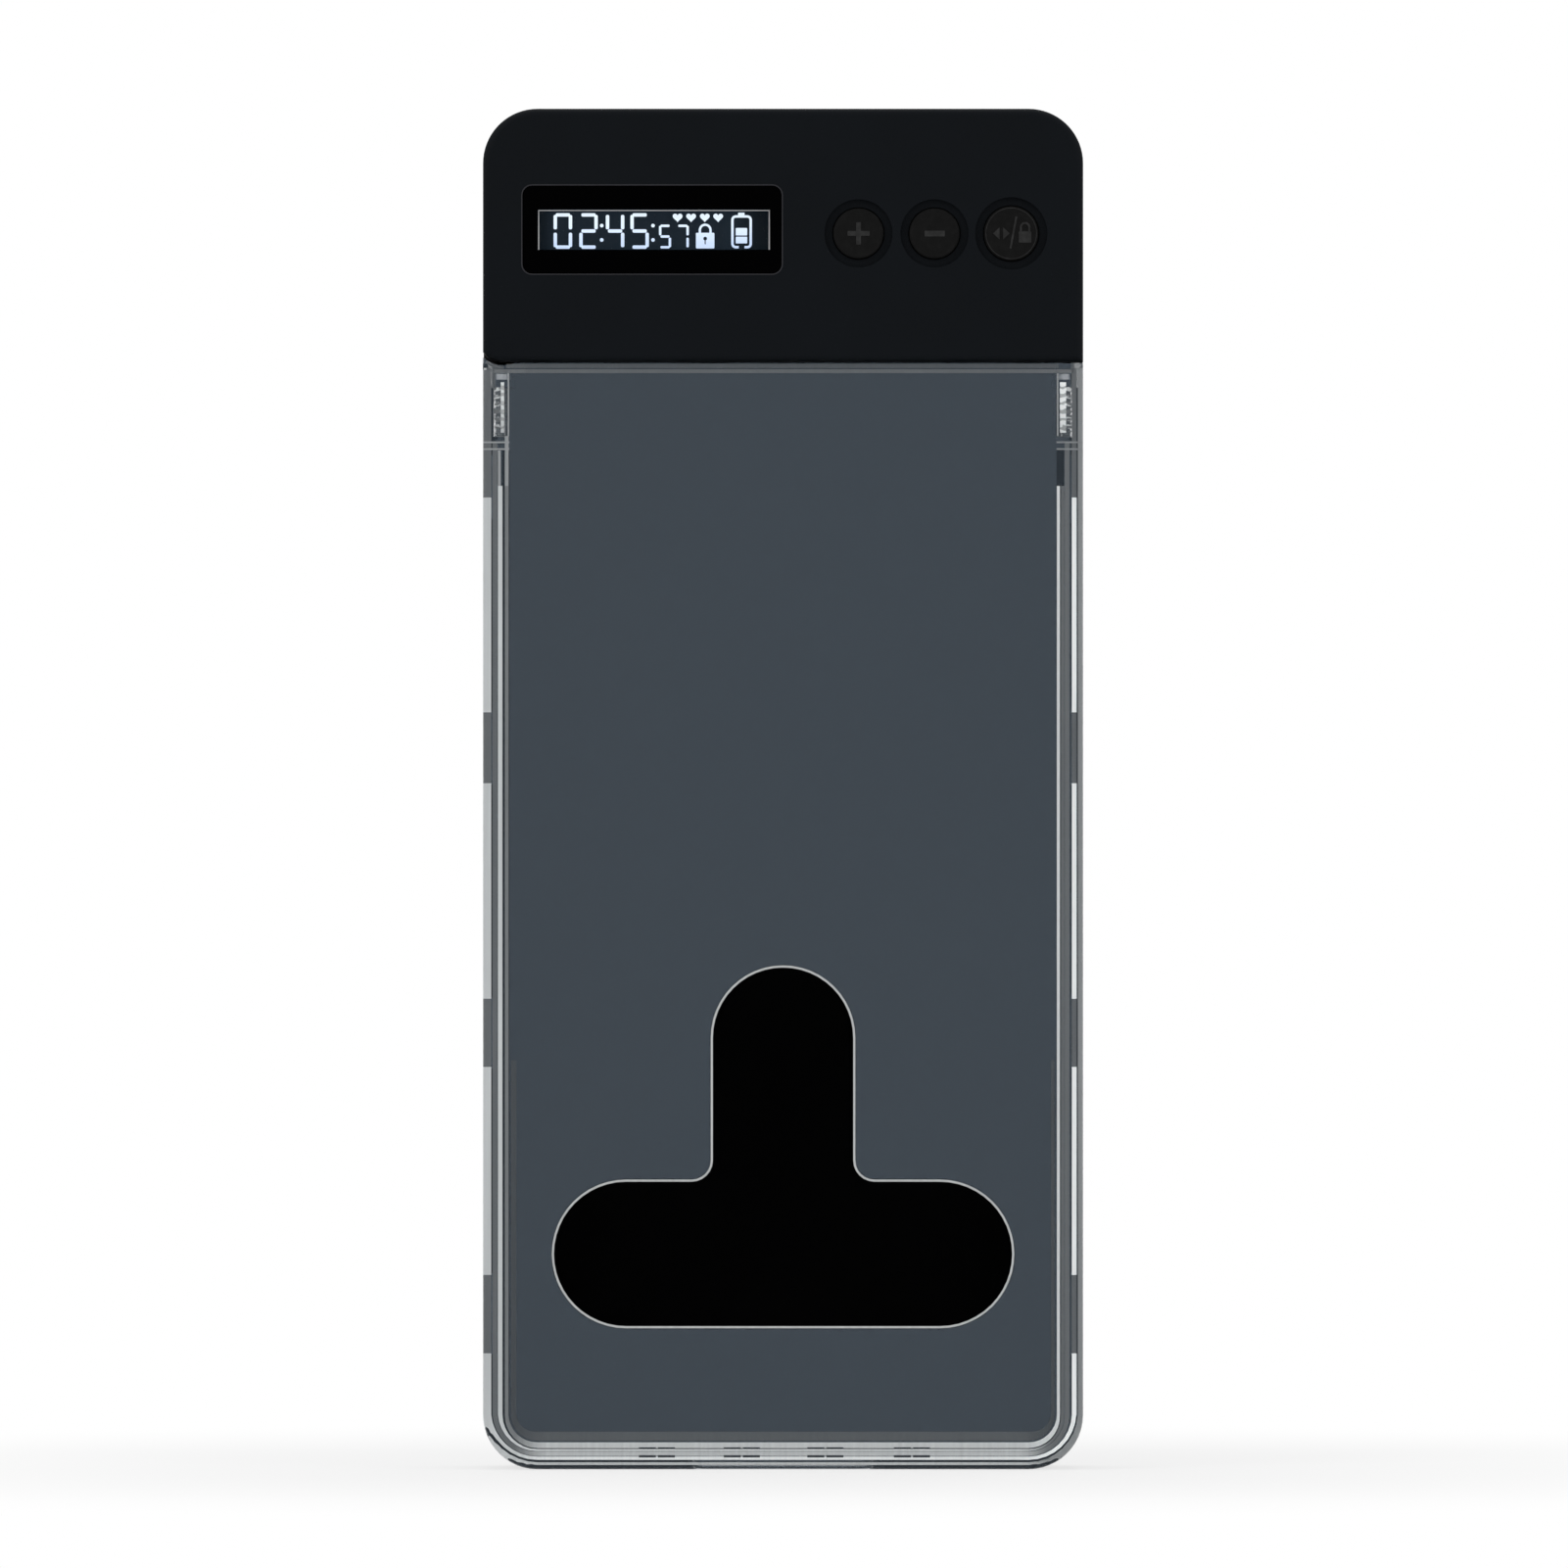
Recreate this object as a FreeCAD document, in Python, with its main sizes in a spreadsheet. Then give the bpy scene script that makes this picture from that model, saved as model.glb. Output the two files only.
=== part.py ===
import FreeCAD, Part
import math
import os
import re
import Sketcher

# A phone-sized timed lock container, in millimetres.
# X runs to the right, Y to the back and Z up. The origin is under the middle of the base.

Vector = FreeCAD.Vector
Rotation = FreeCAD.Rotation

DIMENSIONS = [
    ("half_width", 44.0, "half the width of case and head"),
    ("front_face", -11.0, "front of the clear shell and the head"),
    ("back_face", 11.0, "back of the tray and the head"),
    ("split_plane", -5.0, "plane between the clear shell and the tray"),
    ("shell_top", 162.2, "top edge of the clear shell and the tray's side walls"),
    ("outer_radius", 8.0, "outer corner radius seen from the front"),
    ("front_round", 1.0, "rounding of the front edges"),
    ("rear_round", 2.0, "rounding of the rear edges"),
    ("shell_wall", 1.8, "clear side wall"),
    ("panel_depth", 2.0, "clear front panel"),
    ("tray_wall", 2.0, "black walls of tray and head"),
    ("stem_half", 10.4, "half the width of the upright part of the T slot"),
    ("stem_centre", 63.3, "height of the upright part's round end"),
    ("bar_half", 23.0, "distance of the bar's round ends from the middle"),
    ("bar_low", 20.9, "lower edge of the bar"),
    ("bar_high", 42.3, "upper edge of the bar"),
    ("slot_fillet", 3.0, "inner corners of the T slot"),
    ("slot_bevel", 0.35, "bevel along the T slot's front edge"),
    ("port_half", 11.0, "distance of the charging slot's round ends from the middle"),
    ("port_centre", -4.0, "depth position of the charging slot"),
    ("port_radius", 3.25, "half the width of the charging slot"),
    ("cradle_outer", 41.2, "outer face of the cradle's sides"),
    ("cradle_inner", 40.1, "inner face of the cradle's sides"),
    ("cradle_low", 2.8, "underside of the cradle"),
    ("cradle_floor", 3.9, "floor of the cradle"),
    ("cradle_top", 149.7, "top of the cradle"),
    ("cradle_rear", 2.0, "rear edge of the cradle"),
    ("hook_inner", 41.35, "inner face of the snap hooks"),
    ("hook_outer", 42.1, "outer face of the snap hooks"),
    ("hook_front", -8.0, "front end of the snap hooks"),
    ("hook_catch", 0.5, "height of a snap hook's catch"),
    ("screw_across", 41.5, "distance of the rim screws from the middle"),
    ("screw_depth", -7.0, "depth position of the rim screws"),
    ("screw_tip", 151.7, "lower end of the rim screws"),
    ("screw_seat", 159.8, "underside of the rim screws' heads"),
    ("thread_radius", 1.0, "outer radius of the rim screws' thread"),
    ("thread_core", 0.68, "core radius of the rim screws' thread"),
    ("thread_pitch", 1.0, "pitch of the rim screws' thread"),
    ("boss_low", 150.9, "underside of the clear screw bosses"),
    ("boss_top", 158.6, "top of the clear screw bosses"),
    ("boss_reach", 2.1, "how far bosses and screw tabs reach inwards from the screws"),
    ("well_radius", 1.85, "clearance round the rim screws' heads"),
    ("pivot_across", -41.0, "hinge axis, across"),
    ("pivot_height", 166.2, "hinge axis, height"),
    ("pin_radius", 1.25, "hinge pin"),
    ("pin_play", 0.05, "play of the lug on the pin"),
    ("lug_radius", 3.0, "hinge lug"),
    ("lug_front", -3.05, "front face of the hinge lug"),
    ("lug_rear", 5.05, "rear face of the hinge lug"),
    ("knuckle_radius", 3.85, "the head's rounded lower-left corner"),
    ("horn_radius", 4.35, "hollow of the shell's corner below the knuckle"),
    ("horn_top", 163.1, "tip of the shell's corner beside the knuckle"),
    ("back_wall_top", 170.0, "top of the tray's back wall"),
    ("back_wall_round", 3.8, "the back wall's upper left corner"),
    ("post_inner", 41.4, "inner face of the strike post"),
    ("post_front", -4.9, "front edge of the strike post"),
    ("post_rear", 8.7, "rear edge of the strike post"),
    ("post_top", 181.0, "top of the strike post"),
    ("post_round", 2.5, "rear upper corner of the strike post"),
    ("foot_inner", 40.2, "inner face of the strike post's foot"),
    ("foot_front", -1.6, "front edge of the strike post's foot"),
    ("foot_rear", 8.0, "rear edge of the strike post's foot"),
    ("foot_low", 151.0, "lower end of the strike post's foot"),
    ("peg_depth", 3.2, "depth position of the pegs through the foot"),
    ("peg_radius", 0.9, "pegs through the foot"),
    ("head_top", 199.5, "top of the head"),
    ("lip_height", 162.35, "lower edge of the head's front cover"),
    ("head_floor", 165.9, "underside of the head's housing"),
    ("floor_depth", 1.5, "thickness of the housing's floor"),
    ("rear_start", 170.2, "lower edge of the housing's rear wall"),
    ("cover_back", -8.8, "back of the front cover"),
    ("recess_inner", 40.6, "side of the recess that the bolt comes out of"),
    ("recess_front", -5.2, "front side of the recess"),
    ("recess_top", 181.4, "top of the recess"),
    ("recess_wall", 1.4, "walls round the recess"),
    ("window_left", -38.3, "left edge of the display window"),
    ("window_right", -0.1, "right edge of the display window"),
    ("window_low", 175.2, "lower edge of the display window"),
    ("window_high", 188.3, "upper edge of the display window"),
    ("window_depth", 1.2, "thickness of the display window"),
    ("window_round", 1.5, "corners of the display window"),
    ("window_rim", 1.1, "width of the ledge behind the window"),
    ("plus_across", 11.05, "plus button"),
    ("minus_across", 22.2, "minus button"),
    ("lock_across", 33.45, "lock button"),
    ("button_height", 181.2, "height of the buttons' middle"),
    ("cap_radius", 3.7, "plus and minus caps"),
    ("lock_cap_radius", 4.0, "lock cap"),
    ("well_margin", 1.3, "width of the well round a cap"),
    ("well_depth", 1.0, "depth of the well round a cap"),
    ("cap_play", 0.15, "gap round a cap in its hole"),
    ("flange_margin", 0.9, "width of a cap's flange"),
    ("flange_depth", 0.6, "thickness of a cap's flange"),
    ("board_front", -5.2, "front of the circuit board"),
    ("board_depth", 1.2, "thickness of the circuit board"),
    ("board_left", -37.3, "left edge of the circuit board"),
    ("board_right", 38.4, "right edge of the circuit board"),
    ("board_low", 172.8, "lower edge of the circuit board"),
    ("board_high", 195.6, "upper edge of the circuit board"),
    ("motor_across", 31.0, "motor axis, across"),
    ("motor_depth", 3.5, "motor axis, depth"),
    ("motor_width", 12.0, "width of motor and gearbox"),
    ("motor_flat", 10.0, "depth of motor and gearbox"),
    ("gearbox_low", 173.2, "underside of the gearbox"),
    ("motor_low", 182.0, "underside of the motor's can"),
    ("motor_high", 196.6, "top of the motor's can"),
    ("shaft_radius", 1.5, "output shaft"),
    ("gear_module", 0.5, "module of rack and pinion"),
    ("gear_teeth", 12, "teeth of the pinion"),
    ("gear_backlash", 0.12, "backlash of rack and pinion"),
    ("pinion_low", 168.4, "underside of the pinion"),
    ("pinion_high", 171.6, "top of the pinion"),
    ("slider_left", 20.0, "left end of the latch slider"),
    ("slider_right", 35.0, "right end of the latch slider"),
    ("slider_front", -3.45, "front face of the latch slider"),
    ("slider_low", 168.1, "underside of the latch slider"),
    ("slider_high", 172.0, "top of the latch slider"),
    ("bolt_front", -3.2, "front face of the bolt"),
    ("bolt_rear", -1.2, "rear face of the bolt"),
    ("bolt_tip", 40.5, "tip of the bolt, drawn back"),
    ("bolt_travel", 2.4, "travel of the bolt"),
    ("bolt_slope", 2.4, "slope on the bolt's lower side"),
]

doc = FreeCAD.newDocument("TimedLockContainer")
sheet = doc.addObject("Spreadsheet::Sheet", "sizes")
for row, (alias, size, meaning) in enumerate(DIMENSIONS, 1):
    sheet.set(f"A{row}", meaning)
    sheet.set(f"B{row}", str(size))
    sheet.setAlias(f"B{row}", alias)
doc.recompute()

ALIASES = {alias for alias, size, meaning in DIMENSIONS}
AXES = {"X": Rotation(Vector(0, 1, 0), 90), "Y": Rotation(Vector(1, 0, 0), -90), "Z": Rotation()}
PLANES = {"XY": "XY_Plane", "XZ": "XZ_Plane"}
LOWER = (0, 1)
UPPER = (2, 3)
ALL = (0, 1, 2, 3)
nodes = {}


def formula(text):
    """Puts the sheet's name before each alias in a formula."""
    return re.sub(r"\b[a-z_]+\b", lambda word: "sizes." + word[0] if word[0] in ALIASES else word[0], str(text))


def number(text):
    """Works out a formula now."""
    return float(sheet.evalExpression(formula(text)))


def bind(item, sizes):
    """Binds properties of an item to formulas."""
    for name, text in sizes.items():
        item.setExpression(name, formula(text))


def along(axis, span, middle):
    """Where a rod starts: its span lies along the axis and its middle across the other two."""
    spots = list(middle)
    spots.insert("XYZ".index(axis), span[0])
    return spots


def settle(item, spots, rotation=Rotation()):
    """Turns an item and binds its position."""
    item.Placement = FreeCAD.Placement(Vector(*[number(spot) for spot in spots]), rotation)
    bind(item, {f"Placement.Base.{letter}": spot for letter, spot in zip("xyz", spots)})


def length(span):
    return f"({span[1]}) - ({span[0]})"


def lies_at(edge, x=None, y=None, z=None):
    """Whether all of an edge lies at the given coordinates; a pair gives a range."""
    bounds = edge.BoundBox
    pairs = [(x, bounds.XMin, bounds.XMax), (y, bounds.YMin, bounds.YMax), (z, bounds.ZMin, bounds.ZMax)]
    for wanted, low, high in pairs:
        if wanted is None:
            continue
        span = wanted if isinstance(wanted, tuple) else (wanted, wanted)
        if low < number(span[0]) - 2e-3 or high > number(span[1]) + 2e-3:
            return False
    return True


class Piece:
    """A moulded or machined piece: a body that features are added to one by one."""

    def __init__(self, label):
        self.body = doc.addObject("PartDesign::Body", label)
        self.body.Label = label
        nodes[label] = self.body

    def feature(self, kind):
        return self.body.newObject(f"PartDesign::{kind}", f"{self.body.Name}_{kind}")

    def box(self, x, y, z, kind="AdditiveBox"):
        item = self.feature(kind)
        bind(item, {"Length": length(x), "Width": length(y), "Height": length(z)})
        settle(item, [x[0], y[0], z[0]])
        return item

    def cut_box(self, x, y, z):
        return self.box(x, y, z, "SubtractiveBox")

    def rod(self, axis, radius, span, middle, kind="AdditiveCylinder"):
        item = self.feature(kind)
        bind(item, {"Radius": radius, "Height": length(span)})
        settle(item, along(axis, span, middle), AXES[axis])
        return item

    def cut_rod(self, axis, radius, span, middle):
        return self.rod(axis, radius, span, middle, "SubtractiveCylinder")

    def sketch(self, plane, offset):
        item = self.body.newObject("Sketcher::SketchObject", f"{self.body.Name}_Outline")
        origin = [entry for entry in self.body.Origin.OriginFeatures if entry.Role == PLANES[plane]][0]
        item.AttachmentSupport = [(origin, "")]
        item.MapMode = "FlatFace"
        sign = "-" if plane == "XZ" else ""
        bind(item, {"AttachmentOffset.Base.z": f"{sign}({offset})"})
        return item

    def plate(self, x, z, y, radius=None, corners=()):
        """A rectangle in X and Z, sketched and padded from y[0] back to y[1]."""
        outline = self.sketch("XZ", y[0])
        rectangle(outline, x, z, radius, corners)
        pad = self.feature("Pad")
        pad.Profile = outline
        pad.Reversed = True
        bind(pad, {"Length": length(y)})
        return pad

    def cut_plate(self, x, z, y, radius=None, corners=()):
        """A rectangular pocket in X and Z, cut from y[0] back to y[1]."""
        outline = self.sketch("XZ", y[0])
        rectangle(outline, x, z, radius, corners)
        return self.pocket(outline, y)

    def column(self, x, y, z, radius, corners=ALL):
        """A rounded rectangle in X and Y, padded up from z[0] to z[1]."""
        outline = self.sketch("XY", z[0])
        rectangle(outline, x, y, radius, corners)
        pad = self.feature("Pad")
        pad.Profile = outline
        bind(pad, {"Length": length(z)})
        return pad

    def cut_column(self, x, y, z, radius, corners=ALL):
        """A rounded rectangular pocket in X and Y, cut up from z[0] to z[1]."""
        outline = self.sketch("XY", z[0])
        rectangle(outline, x, y, radius, corners)
        pocket = self.feature("Pocket")
        pocket.Profile = outline
        pocket.Reversed = True
        bind(pocket, {"Length": length(z)})
        return pocket

    def cut_disc(self, radius, centre, y):
        """A round pocket in X and Z, cut from y[0] back to y[1]."""
        outline = self.sketch("XZ", y[0])
        circle(outline, radius, centre)
        return self.pocket(outline, y)

    def pocket(self, outline, y):
        pocket = self.feature("Pocket")
        pocket.Profile = outline
        pocket.Reversed = False
        bind(pocket, {"Length": length(y)})
        return pocket

    def dress(self, kind, size, spots):
        """Rounds or bevels the edges found at the given spots."""
        doc.recompute()
        base = self.body.Tip
        edges = enumerate(base.Shape.Edges, 1)
        names = [f"Edge{place}" for place, edge in edges if any(lies_at(edge, **spot) for spot in spots)]
        if not names:
            raise ValueError(f"{self.body.Label}: no edge at {spots}")
        item = self.feature(kind)
        item.Base = (base, names)
        bind(item, {"Radius" if kind == "Fillet" else "Size": size})
        doc.recompute()
        return item

    def fillet(self, radius, *spots):
        return self.dress("Fillet", radius, spots)

    def chamfer(self, size, *spots):
        return self.dress("Chamfer", size, spots)


def rectangle(outline, across, up, radius=None, corners=()):
    """A constrained rectangle with some corners rounded; sides and radius are bound to the sheet."""
    left, right, low, high = [number(text) for text in (*across, *up)]
    size = number(radius) if corners else 0
    spots = [Vector(left, low, 0), Vector(right, low, 0), Vector(right, high, 0), Vector(left, high, 0)]
    ways = [Vector(1, 0, 0), Vector(0, 1, 0), Vector(-1, 0, 0), Vector(0, -1, 0)]
    sides = []
    for place in range(4):
        following = (place + 1) % 4
        start = spots[place] + ways[place] * (size if place in corners else 0)
        end = spots[following] - ways[place] * (size if following in corners else 0)
        sides.append(outline.addGeometry(Part.LineSegment(start, end), False))
    arcs = []
    for place in range(4):
        before = (place - 1) % 4
        if place not in corners:
            outline.addConstraint(Sketcher.Constraint("Coincident", sides[before], 2, sides[place], 1))
            continue
        middle = spots[place] + (ways[place] - ways[before]) * size
        turn = math.pi / 2 * (place - 2)
        ring = Part.Circle(middle, Vector(0, 0, 1), size)
        arcs.append(outline.addGeometry(Part.ArcOfCircle(ring, turn, turn + math.pi / 2), False))
        outline.addConstraint(Sketcher.Constraint("Tangent", sides[before], 2, arcs[-1], 1))
        outline.addConstraint(Sketcher.Constraint("Tangent", arcs[-1], 2, sides[place], 1))
    for place, kind in enumerate(["Horizontal", "Vertical", "Horizontal", "Vertical"]):
        outline.addConstraint(Sketcher.Constraint(kind, sides[place]))
    distances = [("left", "DistanceX", 3, across[0]), ("low", "DistanceY", 0, up[0]),
                 ("right", "DistanceX", 1, across[1]), ("high", "DistanceY", 2, up[1])]
    for name, kind, place, text in distances:
        entry = outline.addConstraint(Sketcher.Constraint(kind, -1, 1, sides[place], 1, number(text)))
        outline.renameConstraint(entry, name)
        bind(outline, {f"Constraints.{name}": text})
    if arcs:
        entry = outline.addConstraint(Sketcher.Constraint("Radius", arcs[0], size))
        outline.renameConstraint(entry, "corner")
        bind(outline, {"Constraints.corner": radius})
    for arc in arcs[1:]:
        outline.addConstraint(Sketcher.Constraint("Equal", arcs[0], arc))


def circle(outline, radius, centre):
    """A constrained circle; radius and centre are bound to the sheet."""
    middle = Vector(number(centre[0]), number(centre[1]), 0)
    outline.addGeometry(Part.Circle(middle, Vector(0, 0, 1), number(radius)), False)
    entry = outline.addConstraint(Sketcher.Constraint("Radius", 0, number(radius)))
    outline.renameConstraint(entry, "radius")
    bind(outline, {"Constraints.radius": radius})
    for name, kind, text in [("across", "DistanceX", centre[0]), ("up", "DistanceY", centre[1])]:
        entry = outline.addConstraint(Sketcher.Constraint(kind, -1, 1, 0, 3, number(text)))
        outline.renameConstraint(entry, name)
        bind(outline, {f"Constraints.{name}": text})


# Plain solids and groups, for bought-in parts

def block(name, x, y, z):
    item = doc.addObject("Part::Box", name)
    bind(item, {"Length": length(x), "Width": length(y), "Height": length(z)})
    settle(item, [x[0], y[0], z[0]])
    return item


def cylinder(name, axis, radius, span, middle):
    item = doc.addObject("Part::Cylinder", name)
    bind(item, {"Radius": radius, "Height": length(span)})
    settle(item, along(axis, span, middle), AXES[axis])
    return item


def join(name, items):
    whole = doc.addObject("Part::MultiFuse", name)
    whole.Shapes = items
    return whole


def carve(name, base, tool):
    whole = doc.addObject("Part::Cut", name)
    whole.Base = base
    whole.Tool = tool
    return whole


def group(label, items):
    """Several separate solids under one name."""
    whole = doc.addObject("Part::Compound", label)
    whole.Links = items
    keep(label, whole)
    return whole


def keep(label, item):
    item.Label = label
    nodes[label] = item
    return item


def screw(name, head, tip, middle, shank="0.95", head_radius="1.6", head_depth="1.1"):
    """A small machine screw along Y, with a cross recess; its head sits at head, its point at tip."""
    way = 1 if number(tip) > number(head) else -1
    under = f"({head}) + {way} * {head_depth}"
    ends = sorted([head, under], key=number)
    shaft = sorted([under, tip], key=number)
    body = join(name + "_body", [
        cylinder(name + "_head", "Y", head_radius, ends, middle),
        cylinder(name + "_shank", "Y", shank, shaft, middle),
    ])
    deep = f"({head}) + {way} * 0.6"
    outer = f"({head}) - {way} * 0.1"
    depth = sorted([outer, deep], key=number)
    bars = []
    for part, wide, tall in [("flat", 0.9, 0.2), ("upright", 0.2, 0.9)]:
        x = (f"({middle[0]}) - {wide}", f"({middle[0]}) + {wide}")
        z = (f"({middle[1]}) - {tall}", f"({middle[1]}) + {tall}")
        bars.append(block(f"{name}_{part}", x, depth, z))
    return carve(name, body, join(name + "_cross", bars))


# Case

def cut_port(piece, low, high):
    """The charging slot through a floor, with round ends."""
    depth = ("port_centre - port_radius", "port_centre + port_radius")
    piece.cut_box(("-port_half", "port_half"), depth, (low, high))
    for side in ("-", ""):
        piece.cut_rod("Z", "port_radius", (low, high), (f"{side}port_half", "port_centre"))


def mirrored(side, near, far):
    """A span across X on the left or right side of the middle."""
    if side == "-":
        return (f"-({far})", f"-({near})")
    return (near, far)


HOOK_SPANS = [("17", "28.5"), ("59", "69"), ("100.6", "111"), ("139.5", "148.5")]
PEG_HEIGHTS = ("153.6", "159")


def front_shell():
    piece = Piece("front_shell")
    piece.plate(("-half_width", "half_width"), ("0", "shell_top"), ("front_face", "split_plane"),
                "outer_radius", LOWER)
    piece.fillet("front_round", {"y": "front_face", "z": ("0", "shell_top - 0.01")},
                 *[{"y": "front_face", "x": f"{side}half_width"} for side in ("-", "")])
    inner = ("-(half_width - shell_wall)", "half_width - shell_wall")
    inside = ("front_face + panel_depth", "split_plane + 1")
    piece.cut_plate(inner, ("shell_wall", "shell_top + 1"), inside, "outer_radius - shell_wall", LOWER)
    horn = ("-half_width", "pivot_across")
    depth = ("front_face", "split_plane")
    piece.box(horn, depth, ("shell_top - 1", "horn_top"))
    piece.cut_rod("Y", "horn_radius", ("front_face - 1", "split_plane + 1"), ("pivot_across", "pivot_height"))
    for side in ("-", ""):
        across = mirrored(side, "screw_across - boss_reach", "half_width - shell_wall + 0.2")
        piece.box(across, ("front_face + panel_depth - 0.2", "split_plane"), ("boss_low", "boss_top"))
        spot = (f"{side}screw_across", "screw_depth")
        piece.cut_rod("Z", "thread_radius + 0.05", ("screw_tip - 0.3", "boss_top + 1"), spot)
        piece.cut_rod("Z", "well_radius", ("boss_top", "shell_top + 2"), spot)
        for low, high in HOOK_SPANS:
            pocket = mirrored(side, "hook_outer - 0.5", "hook_outer + hook_catch + 0.2")
            piece.cut_box(pocket, ("hook_front - 0.2", "hook_front + 1.4"), (f"{low} - 0.2", f"{high} + 0.2"))
    through = ("front_face - 1", "front_face + panel_depth + 1")
    piece.cut_plate(("-bar_half", "bar_half"), ("bar_low", "bar_high"), through)
    piece.cut_plate(("-stem_half", "stem_half"), ("bar_high - 1", "stem_centre"), through)
    piece.cut_disc("stem_half", ("0", "stem_centre"), through)
    for side in ("-", ""):
        middle = (f"{side}bar_half", "(bar_low + bar_high) / 2")
        piece.cut_disc("(bar_high - bar_low) / 2", middle, through)
    piece.fillet("slot_fillet", *[{"x": f"{side}stem_half", "z": "bar_high"} for side in ("-", "")])
    piece.chamfer("slot_bevel", {"y": "front_face", "x": ("-half_width + 6", "half_width - 6"),
                                 "z": ("bar_low - 1", "stem_centre + stem_half + 1")})
    cut_port(piece, "-1", "shell_wall + 1")
    return piece


def phone_cradle():
    piece = Piece("phone_cradle")
    depth = ("front_face + panel_depth", "cradle_rear")
    piece.plate(("-cradle_outer", "cradle_outer"), ("cradle_low", "cradle_top"), depth,
                "outer_radius - cradle_low", LOWER)
    piece.cut_plate(("-cradle_inner", "cradle_inner"), ("cradle_floor", "cradle_top + 1"),
                    ("front_face + panel_depth - 1", "cradle_rear + 1"), "outer_radius - cradle_floor", LOWER)
    for low, high in [("34", "54"), ("74", "95.5"), ("116", "134.5")]:
        for side in ("-", ""):
            across = mirrored(side, "cradle_inner - 1", "cradle_outer + 1")
            piece.cut_box(across, ("cradle_rear - 2.2", "cradle_rear + 1"), (low, high))
    cut_port(piece, "cradle_low - 1", "cradle_floor + 1")
    return piece


def rear_tray():
    piece = Piece("rear_tray")
    width = ("-half_width", "half_width")
    piece.plate(width, ("0", "back_wall_top"), ("split_plane", "back_face"), "outer_radius", LOWER)
    piece.fillet("rear_round", {"y": "back_face", "z": ("0", "back_wall_top - 0.01")},
                 *[{"y": "back_face", "x": f"{side}half_width"} for side in ("-", "")])
    inner = ("-(half_width - tray_wall)", "half_width - tray_wall")
    piece.cut_plate(inner, ("tray_wall", "back_wall_top + 1"), ("split_plane - 1", "back_face - tray_wall"),
                    "outer_radius - tray_wall", LOWER)
    piece.cut_box(("-half_width - 1", "half_width + 1"), ("split_plane - 1", "back_face - tray_wall"),
                  ("shell_top", "back_wall_top + 1"))

    # Upper left corner of the back wall, round about the hinge axis
    rear = ("back_face - tray_wall", "back_face")
    spot = ("pivot_across", "pivot_height")
    piece.cut_box(("-half_width - 1", "pivot_across"), ("back_face - tray_wall - 1", "back_face + 1"),
                  ("pivot_height", "back_wall_top + 1"))
    piece.rod("Y", "back_wall_round", rear, spot)
    piece.cut_box(("-half_width - 3", "-half_width"), ("back_face - tray_wall - 1", "back_face + 1"),
                  ("pivot_height - 6", "back_wall_top + 1"))

    # Hinge lug
    lug = ("lug_front", "lug_rear")
    piece.box(("-half_width", "pivot_across + lug_radius"), lug, ("shell_top - 1.5", "pivot_height"))
    piece.rod("Y", "lug_radius", lug, spot)
    piece.cut_rod("Y", "pin_radius + pin_play", ("lug_front - 1", "lug_rear + 1"), spot)

    # Staked pegs that hold the strike post
    for height in PEG_HEIGHTS:
        peg = ("peg_depth", height)
        piece.rod("X", "peg_radius", ("foot_inner", "half_width - tray_wall + 0.5"), peg)
        piece.rod("X", "peg_radius + 0.7", ("foot_inner - 0.5", "foot_inner"), peg)

    # Screw tabs and snap hooks
    for side in ("-", ""):
        tab = mirrored(side, "screw_across - boss_reach", "half_width - shell_wall - 0.1")
        piece.box(tab, ("front_face + panel_depth + 0.2", "split_plane + 3"), ("boss_top + 0.1", "screw_seat"))
        root = mirrored(side, "screw_across - boss_reach", "half_width - tray_wall + 0.5")
        piece.box(root, ("split_plane", "split_plane + 3"), ("boss_top + 0.1", "screw_seat"))
        piece.cut_rod("Z", "thread_radius + 0.1", ("boss_top - 1", "screw_seat + 1"),
                      (f"{side}screw_across", "screw_depth"))
        for low, high in HOOK_SPANS:
            arm = mirrored(side, "hook_inner", "hook_outer")
            piece.box(arm, ("hook_front", "split_plane + 4"), (low, high))
            catch = mirrored(side, "hook_outer", "hook_outer + hook_catch")
            piece.box(catch, ("hook_front", "hook_front + 1"), (low, high))
    cut_port(piece, "-1", "tray_wall + 1")
    return piece


def strike_post():
    """The post at the right that the bolt catches, staked to the inside of the tray's wall."""
    piece = Piece("strike_post")
    piece.box(("post_inner", "half_width"), ("post_front", "post_rear"), ("shell_top", "post_top"))
    piece.fillet("post_round", {"y": "post_rear", "z": "post_top"})
    piece.fillet("1", {"y": "post_front", "z": "post_top"})
    piece.box(("foot_inner", "half_width - tray_wall"), ("foot_front", "foot_rear"), ("foot_low", "shell_top + 1.2"))
    piece.cut_box(("post_inner - 2", "bolt_tip + bolt_travel + 0.5"), ("bolt_front - 0.5", "bolt_rear + 0.5"),
                  ("slider_low - 0.5", "slider_high + 0.6"))
    for height in PEG_HEIGHTS:
        piece.cut_rod("X", "peg_radius + 0.05", ("foot_inner - 1", "half_width - tray_wall"), ("peg_depth", height))
    return piece


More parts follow.
